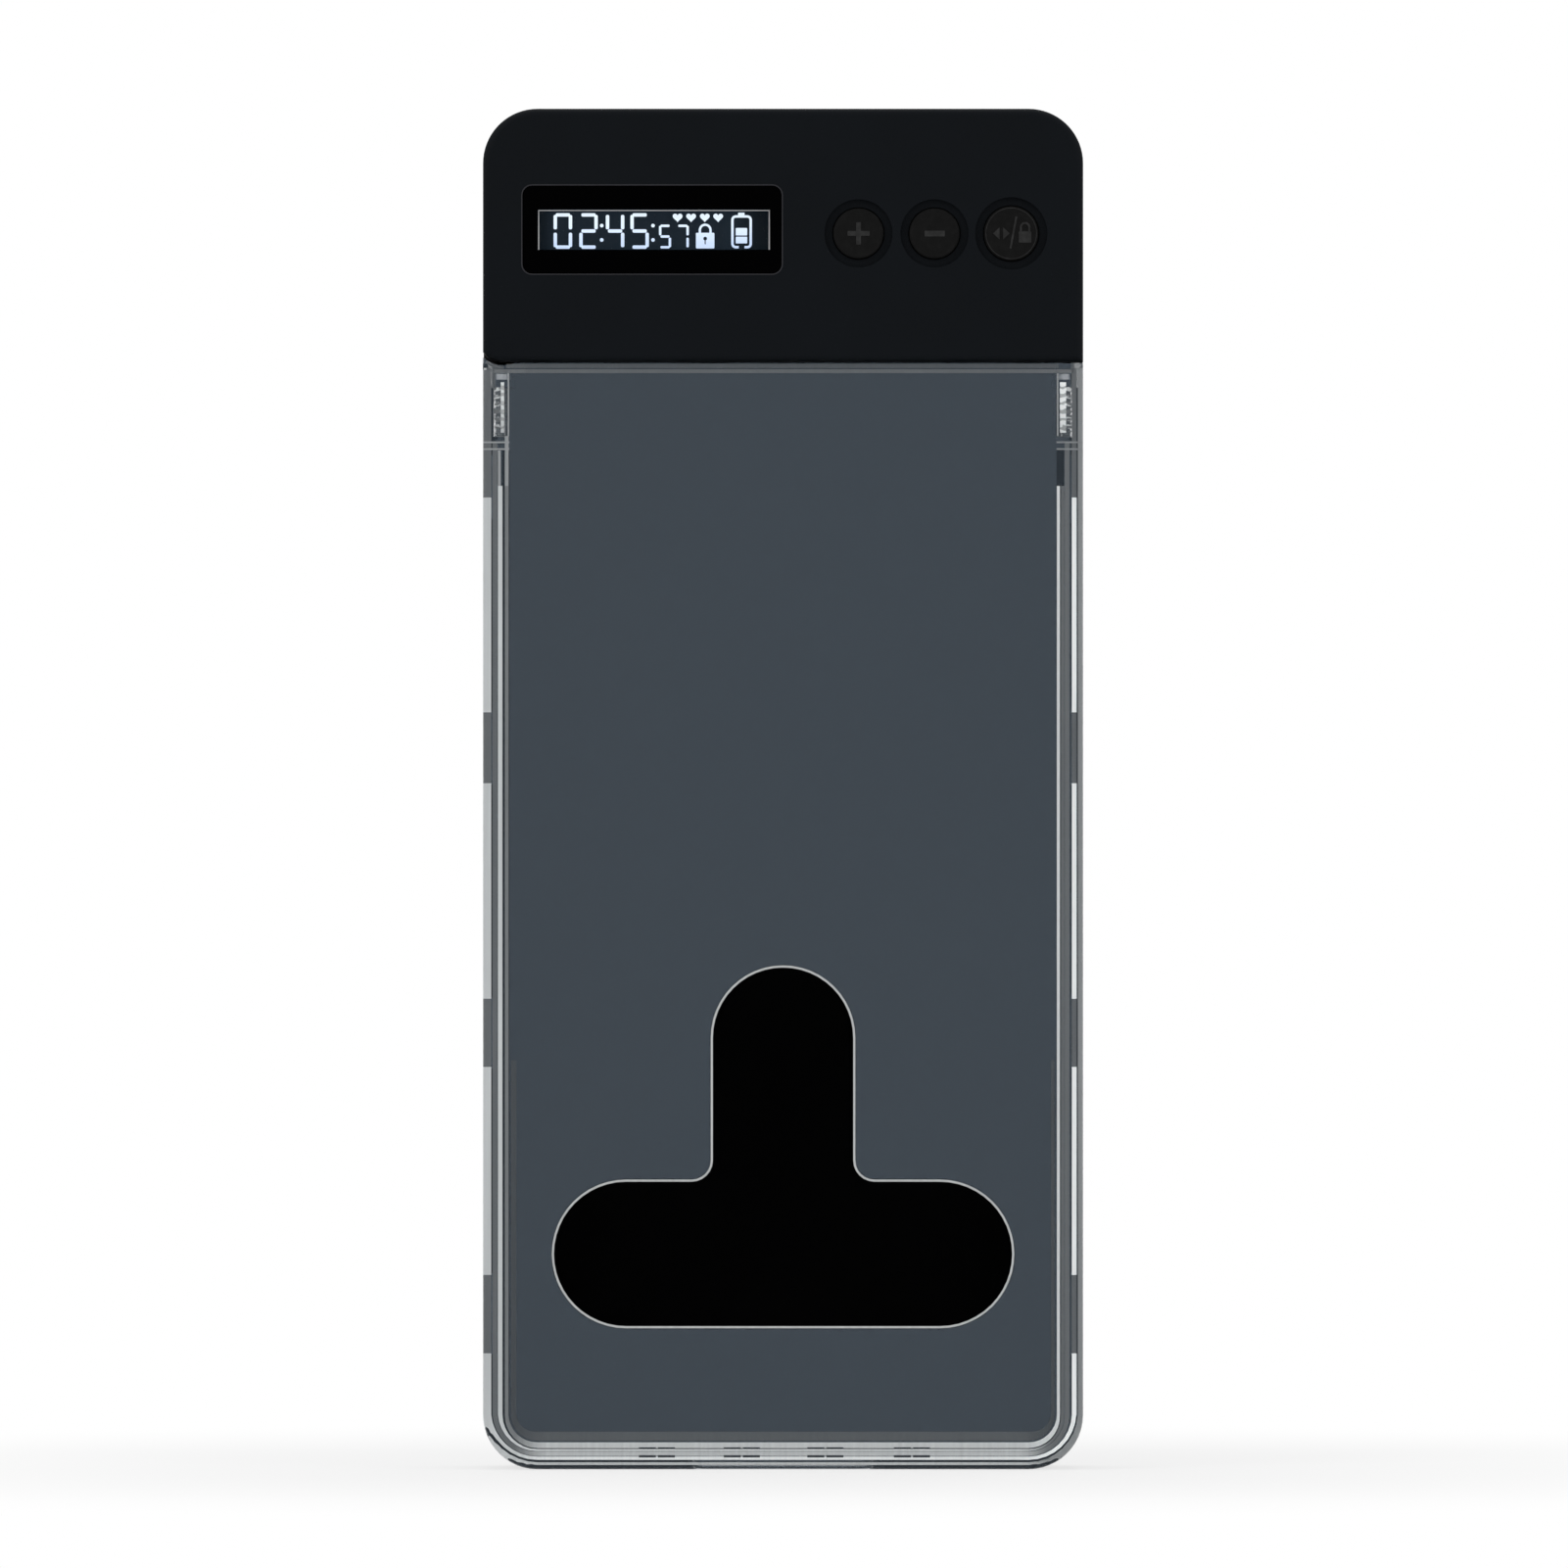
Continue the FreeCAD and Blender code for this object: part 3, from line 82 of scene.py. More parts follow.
class Finish:
    """A material being made: one node at a time, settings first and sockets after."""

    def __init__(self, name):
        self.material = bpy.data.materials.new(name)
        self.material.use_nodes = True
        self.tree = self.material.node_tree
        self.tree.nodes.clear()

    def node(self, kind, settings=None, sockets=None):
        made = self.tree.nodes.new(kind)
        for name, value in (settings or {}).items():
            setattr(made, name, value)
        for key, value in (sockets or {}).items():
            socket = made.inputs[key]
            if isinstance(value, Wire):
                self.tree.links.new(value.socket, socket)
            else:
                socket.default_value = value
        return Wire(self, next((output for output in made.outputs if output.enabled), None))

    def place(self):
        """Object coordinates in metres: the same as the row frame."""
        return self.node("ShaderNodeTexCoord").output("Object")

    def axes(self):
        split = self.node("ShaderNodeSeparateXYZ", sockets={"Vector": self.place()})
        return split.output("X"), split.output("Y"), split.output("Z")

    def noise(self, size, detail=3.0, stretch=(1, 1, 1)):
        """Noise with grains of about size millimetres, drawn out by stretch."""
        scale = [1 / (size * MM * pull) for pull in stretch]
        place = self.node("ShaderNodeMapping", sockets={"Vector": self.place(), "Scale": scale})
        return self.node("ShaderNodeTexNoise", sockets={"Vector": place, "Scale": 1.0, "Detail": detail})

    def cells(self, size):
        scale = [1 / (size * MM)] * 3
        place = self.node("ShaderNodeMapping", sockets={"Vector": self.place(), "Scale": scale})
        return self.node("ShaderNodeTexVoronoi", sockets={"Vector": place, "Scale": 1.0})

    def mix(self, share, first, second):
        """Colour from first to second."""
        colours = [colour if isinstance(colour, Wire) else (*colour, 1) for colour in (first, second)]
        made = self.node("ShaderNodeMix", {"data_type": "RGBA"}, {"Factor": share})
        for socket, colour in zip((6, 7), colours):
            target = made.socket.node.inputs[socket]
            if isinstance(colour, Wire):
                self.tree.links.new(colour.socket, target)
            else:
                target.default_value = colour
        return Wire(self, made.socket.node.outputs[2])

    def bump(self, height, depth):
        """A normal from a height of 0 to 1, depth in millimetres."""
        return self.node("ShaderNodeBump",
                         sockets={"Height": height, "Distance": depth * MM, "Strength": 1.0})

    def shader(self, **sockets):
        """A Principled surface; names use underscores for spaces."""
        named = {key.replace("_", " "): value for key, value in sockets.items()}
        for key in ("Base Color", "Emission Color", "Specular Tint"):
            if isinstance(named.get(key), tuple):
                named[key] = (*named[key], 1)
        return self.node("ShaderNodeBsdfPrincipled", sockets=named)

    def done(self, shader):
        self.node("ShaderNodeOutputMaterial", sockets={"Surface": shader})
        return self.material

    def surface(self, **sockets):
        return self.done(self.shader(**sockets))


# Finishes

def moulded(name, colour, roughness=0.5, grain=0.35, depth=0.02, specular=0.5, lighten=1.25):
    """Moulded plastic with a fine spark-eroded texture."""
    finish = Finish(name)
    cloud = finish.noise(14)
    pits = finish.noise(grain, detail=2.0)
    paler = tuple(value * lighten for value in colour)
    return finish.surface(Base_Color=finish.mix(cloud.smooth(0.3, 0.7), colour, paler),
                          Roughness=roughness - 0.05 + 0.1 * cloud + 0.08 * pits,
                          Specular_IOR_Level=specular, Normal=finish.bump(pits, depth))


def metal(name, colour, roughness=0.3, stretch=(1, 1, 12), scratches=0.2):
    """Drawn or turned metal with fine lines along stretch."""
    finish = Finish(name)
    lines = finish.noise(scratches, stretch=stretch)
    cloud = finish.noise(3)
    dull = tuple(value * 0.82 for value in colour)
    return finish.surface(Base_Color=finish.mix(cloud.smooth(0.35, 0.7), colour, dull), Metallic=1.0,
                          Roughness=roughness - 0.08 + 0.16 * lines, Normal=finish.bump(lines, 0.004))


# The rim screws' holes in the clear shell and the seats of their heads, in metres
SCREW_ACROSS, SCREW_DEEP = 0.0415, -0.007
HOLE_RADIUS, HOLE_TOP = 0.00108, 0.15865
SEAT_RADIUS, SEAT_LOW = 0.00188, 0.15855


def clear_plastic(name, tint, haze=0.03):
    """Clear polycarbonate with a few faint scuffs; the screws' holes and their heads' seats are matt, and
    painted dark grey as shade in the bores.
    """
    finish = Finish(name)
    across, deep, up = finish.axes()
    scuffs = finish.noise(2.5, detail=6.0, stretch=(1, 1, 5)).smooth(0.62, 0.8)
    cloud = finish.noise(40)
    clear = finish.shader(Base_Color=finish.mix(cloud, (0.97, 0.985, 1.0), (0.985, 0.992, 1.0)),
                          Roughness=haze + 0.05 * scuffs, Transmission_Weight=1.0, IOR=1.5,
                          Specular_Tint=tint)
    out = across.maths("ABSOLUTE", across) - SCREW_ACROSS
    behind = deep - SCREW_DEEP
    spread = finish.noise(0.5, detail=1.0, stretch=(6, 6, 1))
    radius = across.maths("SQRT", out * out + behind * behind)
    # Holes and seats: a matt surface whose dark grey is painted shade in the bores
    hole = (radius < HOLE_RADIUS) * (up < HOLE_TOP) * (0.5 + 0.5 * spread.smooth(0.35, 0.65))
    seat = (radius < SEAT_RADIUS) * (up > SEAT_LOW) * 0.85
    matt = finish.shader(Base_Color=(0.16, 0.17, 0.17), Roughness=0.9, Specular_IOR_Level=0.2)
    return finish.done(finish.node("ShaderNodeMixShader", sockets={0: hole + seat, 1: clear, 2: matt}))


def tray_plastic():
    """Black moulded tray: satin outside; inside, where the phone lies, nearly black as painted shade of the
    deep cavity.
    """
    finish = Finish("tray_black")
    across, deep, up = finish.axes()
    pits = finish.noise(0.35, detail=2.0)
    cloud = finish.noise(14)
    half_width, back, floor, top = 0.0421, 0.0091, 0.0019, 0.1695
    side = across.maths("ABSOLUTE", across) < half_width
    inside = side * (deep < back) * (up > floor) * (up < top)
    outer = finish.mix(cloud.smooth(0.3, 0.7), (0.014, 0.014, 0.0145), (0.018, 0.018, 0.0185))
    # Inside the tray the colour is nearly black: painted shade of the deep cavity
    return finish.surface(Base_Color=finish.mix(inside, outer, (0.0003, 0.0003, 0.0004)),
                          Roughness=0.55 + 0.1 * cloud + 0.3 * inside,
                          Specular_IOR_Level=0.03, Normal=finish.bump(pits * (1 - inside), 0.012))


def window_plastic():
    """Smoked lens, printed black behind apart from the display's opening."""
    finish = Finish("window_black")
    across, _, up = finish.axes()
    left, right, low, high = -0.0360, -0.0019, 0.1788, 0.18475
    opening = (across > left) * (across < right) * (up > low) * (up < high)
    dust = finish.noise(0.6, detail=4.0).smooth(0.6, 0.9)
    return finish.surface(Base_Color=finish.mix(dust, (0.0001, 0.0001, 0.0002), (0.0006, 0.0006, 0.0008)),
                          Roughness=0.08 + 0.1 * dust, Specular_IOR_Level=0.008, Alpha=1 - 0.93 * opening)


def display_glass():
    """Unlit display, dark blue with faint uprights; its blue glow is painted light, darker towards its left
    and right ends.
    """
    finish = Finish("display_glass")
    across, _, _ = finish.axes()
    columns = finish.noise(1.6, detail=2.0, stretch=(1, 30, 30))
    left = across.smooth(-0.0362, -0.0325)
    right = 1 - across.smooth(-0.0075, -0.0030)
    share = left * right * (0.6 + 0.4 * columns)
    # Painted light: the unlit display glows dark blue, fading towards its left and right ends
    glow = finish.mix(share, (0.0008, 0.0036, 0.0066), (0.0088, 0.0166, 0.0262))
    return finish.surface(Base_Color=(0.002, 0.003, 0.004), Roughness=0.4, Specular_IOR_Level=0.1,
                          Emission_Color=glow, Emission_Strength=1.0)


def lit_segments():
    """Lit parts of the display, whiter above and bluer below."""
    finish = Finish("lit_segments")
    _, _, up = finish.axes()
    cloud = finish.noise(0.5, detail=1.0)
    share = up.smooth(0.1795, 0.1840) * 0.8 + 0.3 * cloud
    glow = finish.mix(share, (0.50, 0.64, 0.93), (0.80, 0.91, 1.0))
    return finish.surface(Base_Color=(0.4, 0.45, 0.5), Roughness=0.5,
                          Emission_Color=glow, Emission_Strength=1.0)


def edge_highlight_finish():
    """The edge of the display's glass, with a painted highlight: a glow, though it is no lamp."""
    finish = Finish("glass_edge")
    cloud = finish.noise(2.0)
    glow = finish.mix(cloud, (0.20, 0.20, 0.20), (0.40, 0.40, 0.41))
    return finish.surface(Base_Color=(0.2, 0.2, 0.2), Roughness=0.4,
                          Emission_Color=glow, Emission_Strength=1.0)


def solder_mask():
    """Circuit board: green mask with pale tracks under it."""
    finish = Finish("board_green")
    tracks = finish.cells(1.4).smooth(0.42, 0.5)
    grain = finish.noise(0.4)
    return finish.surface(Base_Color=finish.mix(tracks, (0.012, 0.075, 0.032), (0.03, 0.15, 0.06)),
                          Roughness=0.32 + 0.1 * grain, Normal=finish.bump(tracks, 0.03))


def cell_pouch():
    """Battery pouch: crumpled laminate foil."""
    finish = Finish("cell_foil")
    creases = finish.noise(4, detail=5.0)
    return finish.surface(Base_Color=finish.mix(creases, (0.62, 0.63, 0.65), (0.75, 0.76, 0.78)),
                          Metallic=1.0, Roughness=0.3 + 0.15 * creases, Normal=finish.bump(creases, 0.25))


def foam(name):
    finish = Finish(name)
    pores = finish.cells(0.35)
    grey = finish.mix(pores.smooth(0.1, 0.6), (0.02, 0.02, 0.02), (0.06, 0.06, 0.06))
    return finish.surface(Base_Color=grey, Roughness=0.95, Specular_IOR_Level=0.2,
                          Normal=finish.bump(pores, 0.15))


def rubber(name, colour, paler):
    """Moulded silicone with a dry, dusty skin."""
    finish = Finish(name)
    cloud = finish.noise(1.2, detail=5.0)
    pits = finish.noise(0.12, detail=2.0)
    return finish.surface(Base_Color=finish.mix(cloud.smooth(0.35, 0.75), colour, paler),
                          Roughness=0.7 + 0.15 * pits, Specular_IOR_Level=0.1,
                          Normal=finish.bump(pits, 0.012))


cover_black = moulded("cover_black", (0.0038, 0.0050, 0.0066), 0.55, specular=0.06, lighten=1.15)
housing_black = moulded("housing_black", (0.012, 0.012, 0.0125), 0.5, specular=0.12)
cap_rubber = rubber("cap_rubber", (0.0038, 0.0038, 0.0038), (0.0062, 0.0062, 0.0062))
steel = metal("zinc_steel", (0.72, 0.73, 0.75), 0.28)
pin_steel = metal("pin_steel", (0.62, 0.63, 0.65), 0.22, stretch=(1, 8, 1))
dark_screw = metal("dark_screw", (0.08, 0.08, 0.085), 0.35)
brass = metal("gear_brass", (0.78, 0.58, 0.26), 0.25, stretch=(4, 4, 1))
nickel = metal("nickel_steel", (0.66, 0.65, 0.62), 0.26, stretch=(10, 1, 1))
acetal = moulded("acetal_white", (0.78, 0.78, 0.75), 0.4, specular=0.5, lighten=1.04)
chip_black = moulded("chip_black", (0.018, 0.018, 0.019), 0.5, grain=0.12)
NODE_FINISHES = {
    "front_shell": clear_plastic("clear_shell", (0.66, 0.82, 1.0)),
    "phone_cradle": clear_plastic("clear_cradle", (0.75, 0.85, 0.97)),
    "rear_tray": tray_plastic(), "strike_post": housing_black,
    "rim_screws": metal("rim_zinc", (0.36, 0.37, 0.38), 0.42),
    "head_front_cover": cover_black, "head_housing": housing_black, "display_window": window_plastic(),
    "lcd_panel": display_glass(), "lcd_frame": acetal, "circuit_board": solder_mask(),
    "board_chips": chip_black, "button_switches": nickel, "battery": cell_pouch(),
    "battery_pad": foam("foam_pad"), "usb_socket": steel, "buzzer": chip_black, "motor": steel,
    "gearbox": brass, "motor_bracket": moulded("grey_plastic", (0.2, 0.2, 0.21)),
    "latch_guide": acetal, "hinge_pin": pin_steel, "hinge_washers": acetal, "cover_screws": dark_screw,
    "board_screws": steel, "battery_leads": rubber("lead_red", (0.42, 0.02, 0.02), (0.55, 0.05, 0.04)),
    "motor_leads": rubber("lead_black", (0.02, 0.02, 0.02), (0.035, 0.035, 0.035)),
    "plus_cap": cap_rubber, "minus_cap": cap_rubber, "lock_cap": cap_rubber, "latch_slider": acetal,
    "latch_bolt": nickel, "drive_pinion": brass, "output_shaft": pin_steel,
}
for name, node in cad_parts.items():
    for slot in node.material_slots:
        slot.material = NODE_FINISHES[name]


# Making pieces

def piece(name, mesh, finish, body):
    """Turns a bmesh in millimetres into a finished piece that rides on a body."""
    bmesh.ops.scale(mesh, vec=(MM, MM, MM), verts=mesh.verts)
    bmesh.ops.recalc_face_normals(mesh, faces=mesh.faces)
    data = bpy.data.meshes.new(name)
    mesh.to_mesh(data)
    mesh.free()
    made = bpy.data.objects.new(name, data)
    bpy.context.scene.collection.objects.link(made)
    data.materials.append(finish)
    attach(made, body)


def tablet(mesh, across, up, deep, corner=0.0, turn=0.0):
    """A flat block with rounded corners, from its spans in millimetres, turned about its middle."""
    spans = (across, deep, up)
    middle = Vector([(low + high) / 2 for low, high in spans])
    size = Vector([high - low for low, high in spans])
    corners = bmesh.ops.create_cube(mesh, size=1.0)["verts"]
    bmesh.ops.scale(mesh, vec=size, verts=corners)
    edges = dict.fromkeys(edge for corner_vertex in corners for edge in corner_vertex.link_edges)
    upright = [edge for edge in edges if abs((edge.verts[0].co - edge.verts[1].co).y) > size.y / 2]
    if corner:
        made = bmesh.ops.bevel(mesh, geom=upright, offset=corner, offset_type="OFFSET", affect="EDGES",
                               segments=4, profile=0.5, material=-1)
        corners = list(dict.fromkeys(vertex for face in made["faces"] for vertex in face.verts))
    bmesh.ops.rotate(mesh, cent=(0, 0, 0), matrix=Matrix.Rotation(math.radians(turn), 3, "Y"), verts=corners)
    bmesh.ops.translate(mesh, vec=middle, verts=corners)


def disc(mesh, middle, radius, deep, shape=None, segments=32):
    """A flat round plate, or another outline that shape gives for each angle."""
    made = bmesh.ops.create_circle(mesh, cap_ends=True, radius=radius, segments=segments)
    ring = made["verts"]
    for vertex in ring:
        if shape:
            vertex.co.x, vertex.co.y = shape(math.atan2(vertex.co.x, vertex.co.y), radius)
    bmesh.ops.rotate(mesh, cent=(0, 0, 0), matrix=Matrix.Rotation(math.radians(90), 3, "X"), verts=ring)
    bmesh.ops.translate(mesh, vec=(middle[0], deep[0], middle[1]), verts=ring)
    face = ring[0].link_faces[0]
    grown = bmesh.ops.extrude_face_region(mesh, geom=[face], use_keep_orig=True)["geom"]
    bmesh.ops.translate(mesh, vec=(0, deep[1] - deep[0], 0),
                        verts=[item for item in grown if isinstance(item, bmesh.types.BMVert)])


def heart(angle, radius):
    """A heart's outline."""
    across = 16 * math.sin(angle) ** 3
    up = 13 * math.cos(angle) - 5 * math.cos(2 * angle) - 2 * math.cos(3 * angle) - math.cos(4 * angle)
    return across * radius / 16, up * radius / 16


def line(mesh, points, width, deep, closed=False):
    """A rounded line through points in the front view, in millimetres."""
    curve = bpy.data.curves.new("line", "CURVE")
    curve.dimensions = "3D"
    curve.bevel_depth = width / 2
    curve.bevel_resolution = 2
    curve.use_fill_caps = True
    spline = curve.splines.new("POLY")
    spline.points.add(len(points) - 1)
    for point, (across, up) in zip(spline.points, points):
        point.co = (across, deep, up, 1)
    spline.use_cyclic_u = closed
    holder = bpy.data.objects.new("line", curve)
    shape = bpy.data.meshes.new_from_object(holder)
    mesh.from_mesh(shape)
    bpy.data.objects.remove(holder)
    bpy.data.curves.remove(curve)
    bpy.data.meshes.remove(shape)


def arc(middle, radius, first, last, steps=12):
    """Points on an arc in the front view; angles in degrees from the right, upwards."""
    angles = [math.radians(first + (last - first) * step / steps) for step in range(steps + 1)]
    return [(middle[0] + radius * math.cos(angle), middle[1] + radius * math.sin(angle)) for angle in angles]


# Display: seven-segment digits and small signs

SEGMENTS = {"0": "abcdef", "2": "abged", "4": "fgbc", "5": "afgcd", "7": "abc"}
LIT_DEPTH = (-8.68, -8.6)


def digit(mesh, sign, left, low, width, height, stroke):
    """One digit of rounded bars with small gaps where they meet."""
    right, high, middle = left + width, low + height, low + height / 2
    gap = stroke * 0.62
    level = {"a": high - stroke / 2, "g": middle, "d": low + stroke / 2}
    upright = {"f": (left, middle, high), "b": (right - stroke, middle, high),
               "e": (left, low, middle), "c": (right - stroke, low, middle)}
    for name in SEGMENTS[sign]:
        if name in level:
            span = (level[name] - stroke / 2, level[name] + stroke / 2)
            tablet(mesh, (left + gap, right - gap), span, LIT_DEPTH, stroke * 0.4)
        else:
            start, bottom, top = upright[name]
            span = (bottom + gap * 0.8, top - gap * 0.8)
            tablet(mesh, (start, start + stroke), span, LIT_DEPTH, stroke * 0.4)


def display_signs():
    mesh = bmesh.new()
    for sign, left in [("0", -33.66), ("2", -29.9), ("4", -26.0), ("5", -22.4)]:
        digit(mesh, sign, left, 179.0, 2.72, 5.22, 0.5)
    for sign, left in [("5", -18.2), ("7", -15.6)]:
        digit(mesh, sign, left, 179.05, 1.78, 3.5, 0.36)
    for across in (-26.6, -19.08):
        for up in (180.3, 182.4):
            disc(mesh, (across, up), 0.27, LIT_DEPTH, segments=16)
    for across in (-15.47, -13.49, -11.48, -9.52):
        disc(mesh, (across, 183.62), 0.72, LIT_DEPTH, heart, segments=40)

    # Padlock
    tablet(mesh, (-12.78, -10.07), (179.05, 181.35), LIT_DEPTH, 0.15)
    middle = (-11.42, 181.75)
    loop = [(middle[0] + 0.78, 181.3)] + arc(middle, 0.78, 0, 180) + [(middle[0] - 0.78, 181.3)]
    line(mesh, loop, 0.34, -8.64)

    # Battery with two bars of charge
    low, high, left, right, bend = 179.23, 183.75, -7.43, -4.74, 0.5
    outline = [(-6.5, low)] + arc((left + bend, low + bend), bend, 270, 180, 5)
    outline += arc((left + bend, high - bend), bend, 180, 90, 5)
    outline += arc((right - bend, high - bend), bend, 90, 0, 5)
    outline += arc((right - bend, low + bend), bend, 0, -90, 5) + [(-5.65, low)]
    line(mesh, outline, 0.36, -8.64)
    tablet(mesh, (-6.6, -5.65), (183.85, 184.3), LIT_DEPTH, 0.1)
    for span in [(180.96, 182.05), (179.8, 180.77)]:
        tablet(mesh, (-6.94, -5.26), span, LIT_DEPTH, 0.08)
    piece("display_signs", mesh, lit_segments(), "head")

    mesh = bmesh.new()
    disc(mesh, (-11.42, 180.5), 0.27, (-8.72, -8.66), segments=20)
    tablet(mesh, (-11.5, -11.34), (179.65, 180.45), (-8.72, -8.66), 0.05)
    piece("display_keyhole", mesh, display_glass(), "head")

    # A painted highlight along the display glass's edge
    mesh = bmesh.new()
    line(mesh, [(-35.85, 178.85), (-35.85, 184.62), (-2.03, 184.62), (-2.03, 178.85)], 0.2, -8.62)
    piece("display_edge", mesh, edge_highlight_finish(), "head")


def window_rim():
    """The lens stands in a thin paler edge of the cover."""
    mesh = bmesh.new()
    left, right, low, high, bend = -38.3, -0.1, 175.2, 188.3, 1.5
    outline = arc((left + bend, low + bend), bend, 270, 180, 6)
    outline += arc((left + bend, high - bend), bend, 180, 90, 6)
    outline += arc((right - bend, high - bend), bend, 90, 0, 6)
    outline += arc((right - bend, low + bend), bend, 0, -90, 6)
    line(mesh, outline, 0.2, -10.98, closed=True)
    finish = moulded("window_edge", (0.022, 0.022, 0.026), 0.5, specular=0.2)
    piece("window_edge", mesh, finish, "head")


# Raised signs on the buttons

def button_signs():
    sign_rubber = rubber("sign_rubber", (0.021, 0.021, 0.021), (0.034, 0.034, 0.034))
    deep = (-10.96, -10.85)
    mesh = bmesh.new()
    tablet(mesh, (9.45, 12.7), (180.84, 181.56), deep, 0.12)
    tablet(mesh, (10.71, 11.43), (179.56, 182.84), (-10.965, -10.85), 0.12)
    piece("plus_sign", mesh, sign_rubber, "plus_button")

    mesh = bmesh.new()
    tablet(mesh, (20.75, 23.72), (180.75, 181.6), deep, 0.12)
    piece("minus_sign", mesh, sign_rubber, "minus_button")

    mesh = bmesh.new()
    for way in (-1, 1):
        middle = 32.0 + way * 0.66
        disc(mesh, (middle, 181.2), 0.9, deep,
             lambda angle, radius, way=way: arrow(angle, radius, way), segments=3)
    tablet(mesh, (33.62, 33.92), (178.95, 183.7), deep, 0.08, turn=10.5)
    tablet(mesh, (34.55, 36.4), (179.85, 181.5), deep, 0.12)
    loop = [(36.1, 181.45)] + arc((35.48, 182.1), 0.62, 0, 180, 10) + [(34.86, 181.45)]
    line(mesh, loop, 0.34, -10.9)
    piece("lock_sign", mesh, sign_rubber, "lock_button")

    mesh = bmesh.new()
    line(mesh, arc((33.45, 181.2), 3.72, 0, 350, 35), 0.12, -10.9, closed=True)
    piece("lock_cap_edge", mesh, sign_rubber, "lock_button")


def arrow(angle, radius, way):
    """A triangle's corner, pointing to one side."""
    corner = round(angle / math.radians(120))
    return [(way * radius * 0.62, 0), (-way * radius * 0.45, radius), (-way * radius * 0.45, -radius)][corner]


# Lips, ribs and beads that show as pale lines through the clear rims; their paleness and glow are painted
# highlights

CASE_HALF, CASE_BEND = 44.0, 8.0
SIDE_FOOT = 17
LIP_DEPTH = (-9.15, -9.1)
LEDGE_DEPTH = (-9.22, -9.17)
HINGE = (-41.0, 166.2)


def painted_glow_plastic(finish, level, waves):
    """Plastic as pale as level says, with a painted glow of its own: painted light for what the clear wall
    passes on.
    """
    pale = finish.mix(level, (0, 0, 0), (0.97, 1.0, 1.0))
    return finish.surface(Base_Color=pale, Roughness=0.6 + 0.2 * waves, Specular_IOR_Level=0.2,
                          Emission_Color=pale, Emission_Strength=0.25)


def lip_painted_light(name, left, middle, right):
    """Plastic seen through the rim, with painted light: its brightness is given for its left side, lower end
    and right side.
    """
    finish = Finish(name)
    across, _, _ = finish.axes()
    streaks = finish.noise(3.0, detail=3.0, stretch=(0.2, 1, 12))
    side = across.smooth(-0.040, -0.034)
    other = across.smooth(0.034, 0.040)
    level = left + (middle - left) * side + (right - middle) * other
    return painted_glow_plastic(finish, level * (0.8 + 0.4 * streaks), streaks)


def thread_glints():
    """Bright and dull bands, as a screw's thread gives through a clear wall, duller towards its tip."""
    finish = Finish("thread_glints")
    across, _, up = finish.axes()
    pitch, edge = 1.2 * MM, 0.04155
    waves = finish.noise(0.75, detail=1.0, stretch=(1.2, 1, 0.9))
    turns = across.maths("SINE", up * (2 * math.pi / pitch) + 6 * waves).smooth(-0.75, 0.45)
    inner = across.maths("ABSOLUTE", across) < edge
    right = across > 0
    level = turns * (0.4 - 0.1 * inner + 0.25 * inner * right) + 0.12 + 0.3 * inner
    return painted_glow_plastic(finish, level * (0.65 + 0.35 * up.smooth(0.151, 0.157)), waves)


def lip(mesh, left, middle, right):
    """A flat lip round the lower end. Each side gives its nearest and farthest distance from the outline."""
    flat = CASE_HALF - CASE_BEND
    ends = [mesh.verts.new((-CASE_HALF + out, LIP_DEPTH[0], SIDE_FOOT)) for out in middle]
    edge = mesh.edges.new(ends)
    made = list(ends)

    def onward(edge, way):
        grown = bmesh.ops.extrude_edge_only(mesh, edges=[edge])["geom"]
        fresh = [item for item in grown if isinstance(item, bmesh.types.BMVert)]
        bmesh.ops.translate(mesh, vec=way, verts=fresh)
        made.extend(fresh)
        return next(item for item in grown
                    if isinstance(item, bmesh.types.BMEdge) and set(item.verts) == set(fresh))

    def corner(edge, side):
        before = set(mesh.verts)
        last = bmesh.ops.spin(mesh, geom=[edge, *edge.verts], cent=(side * flat, 0, CASE_BEND),
                              axis=(0, 1, 0), angle=math.radians(-90), steps=8)["geom_last"]
        made.extend(vertex for vertex in mesh.verts if vertex not in before)
        return next(item for item in last if isinstance(item, bmesh.types.BMEdge))

    edge = onward(edge, (0, 0, CASE_BEND - SIDE_FOOT))
    edge = corner(edge, -1)
    edge = onward(edge, (2 * flat, 0, 0))
    edge = corner(edge, 1)
    onward(edge, (0, 0, SIDE_FOOT - CASE_BEND))

    # The sides lie nearer to the outline, or farther from it, than the lower end does
    for vertex in made:
        if abs(vertex.co.x) < flat:
            continue
        side = right if vertex.co.x > 0 else left
        rise = min(1.0, vertex.co.z / CASE_BEND)
        spoke = math.hypot(abs(vertex.co.x) - flat, min(0.0, vertex.co.z - CASE_BEND))
        share = (CASE_BEND - spoke - middle[0]) / (middle[1] - middle[0])
        shift = (side[0] - middle[0]) * (1 - share) + (side[1] - middle[1]) * share
        vertex.co.x -= math.copysign(1.0, vertex.co.x) * shift * rise
    faces = list(dict.fromkeys(face for vertex in made for face in vertex.link_faces))
    grown = bmesh.ops.extrude_face_region(mesh, geom=faces, use_keep_orig=True)["geom"]
    bmesh.ops.translate(mesh, vec=(0, LIP_DEPTH[1] - LIP_DEPTH[0], 0),
                        verts=[item for item in grown if isinstance(item, bmesh.types.BMVert)])


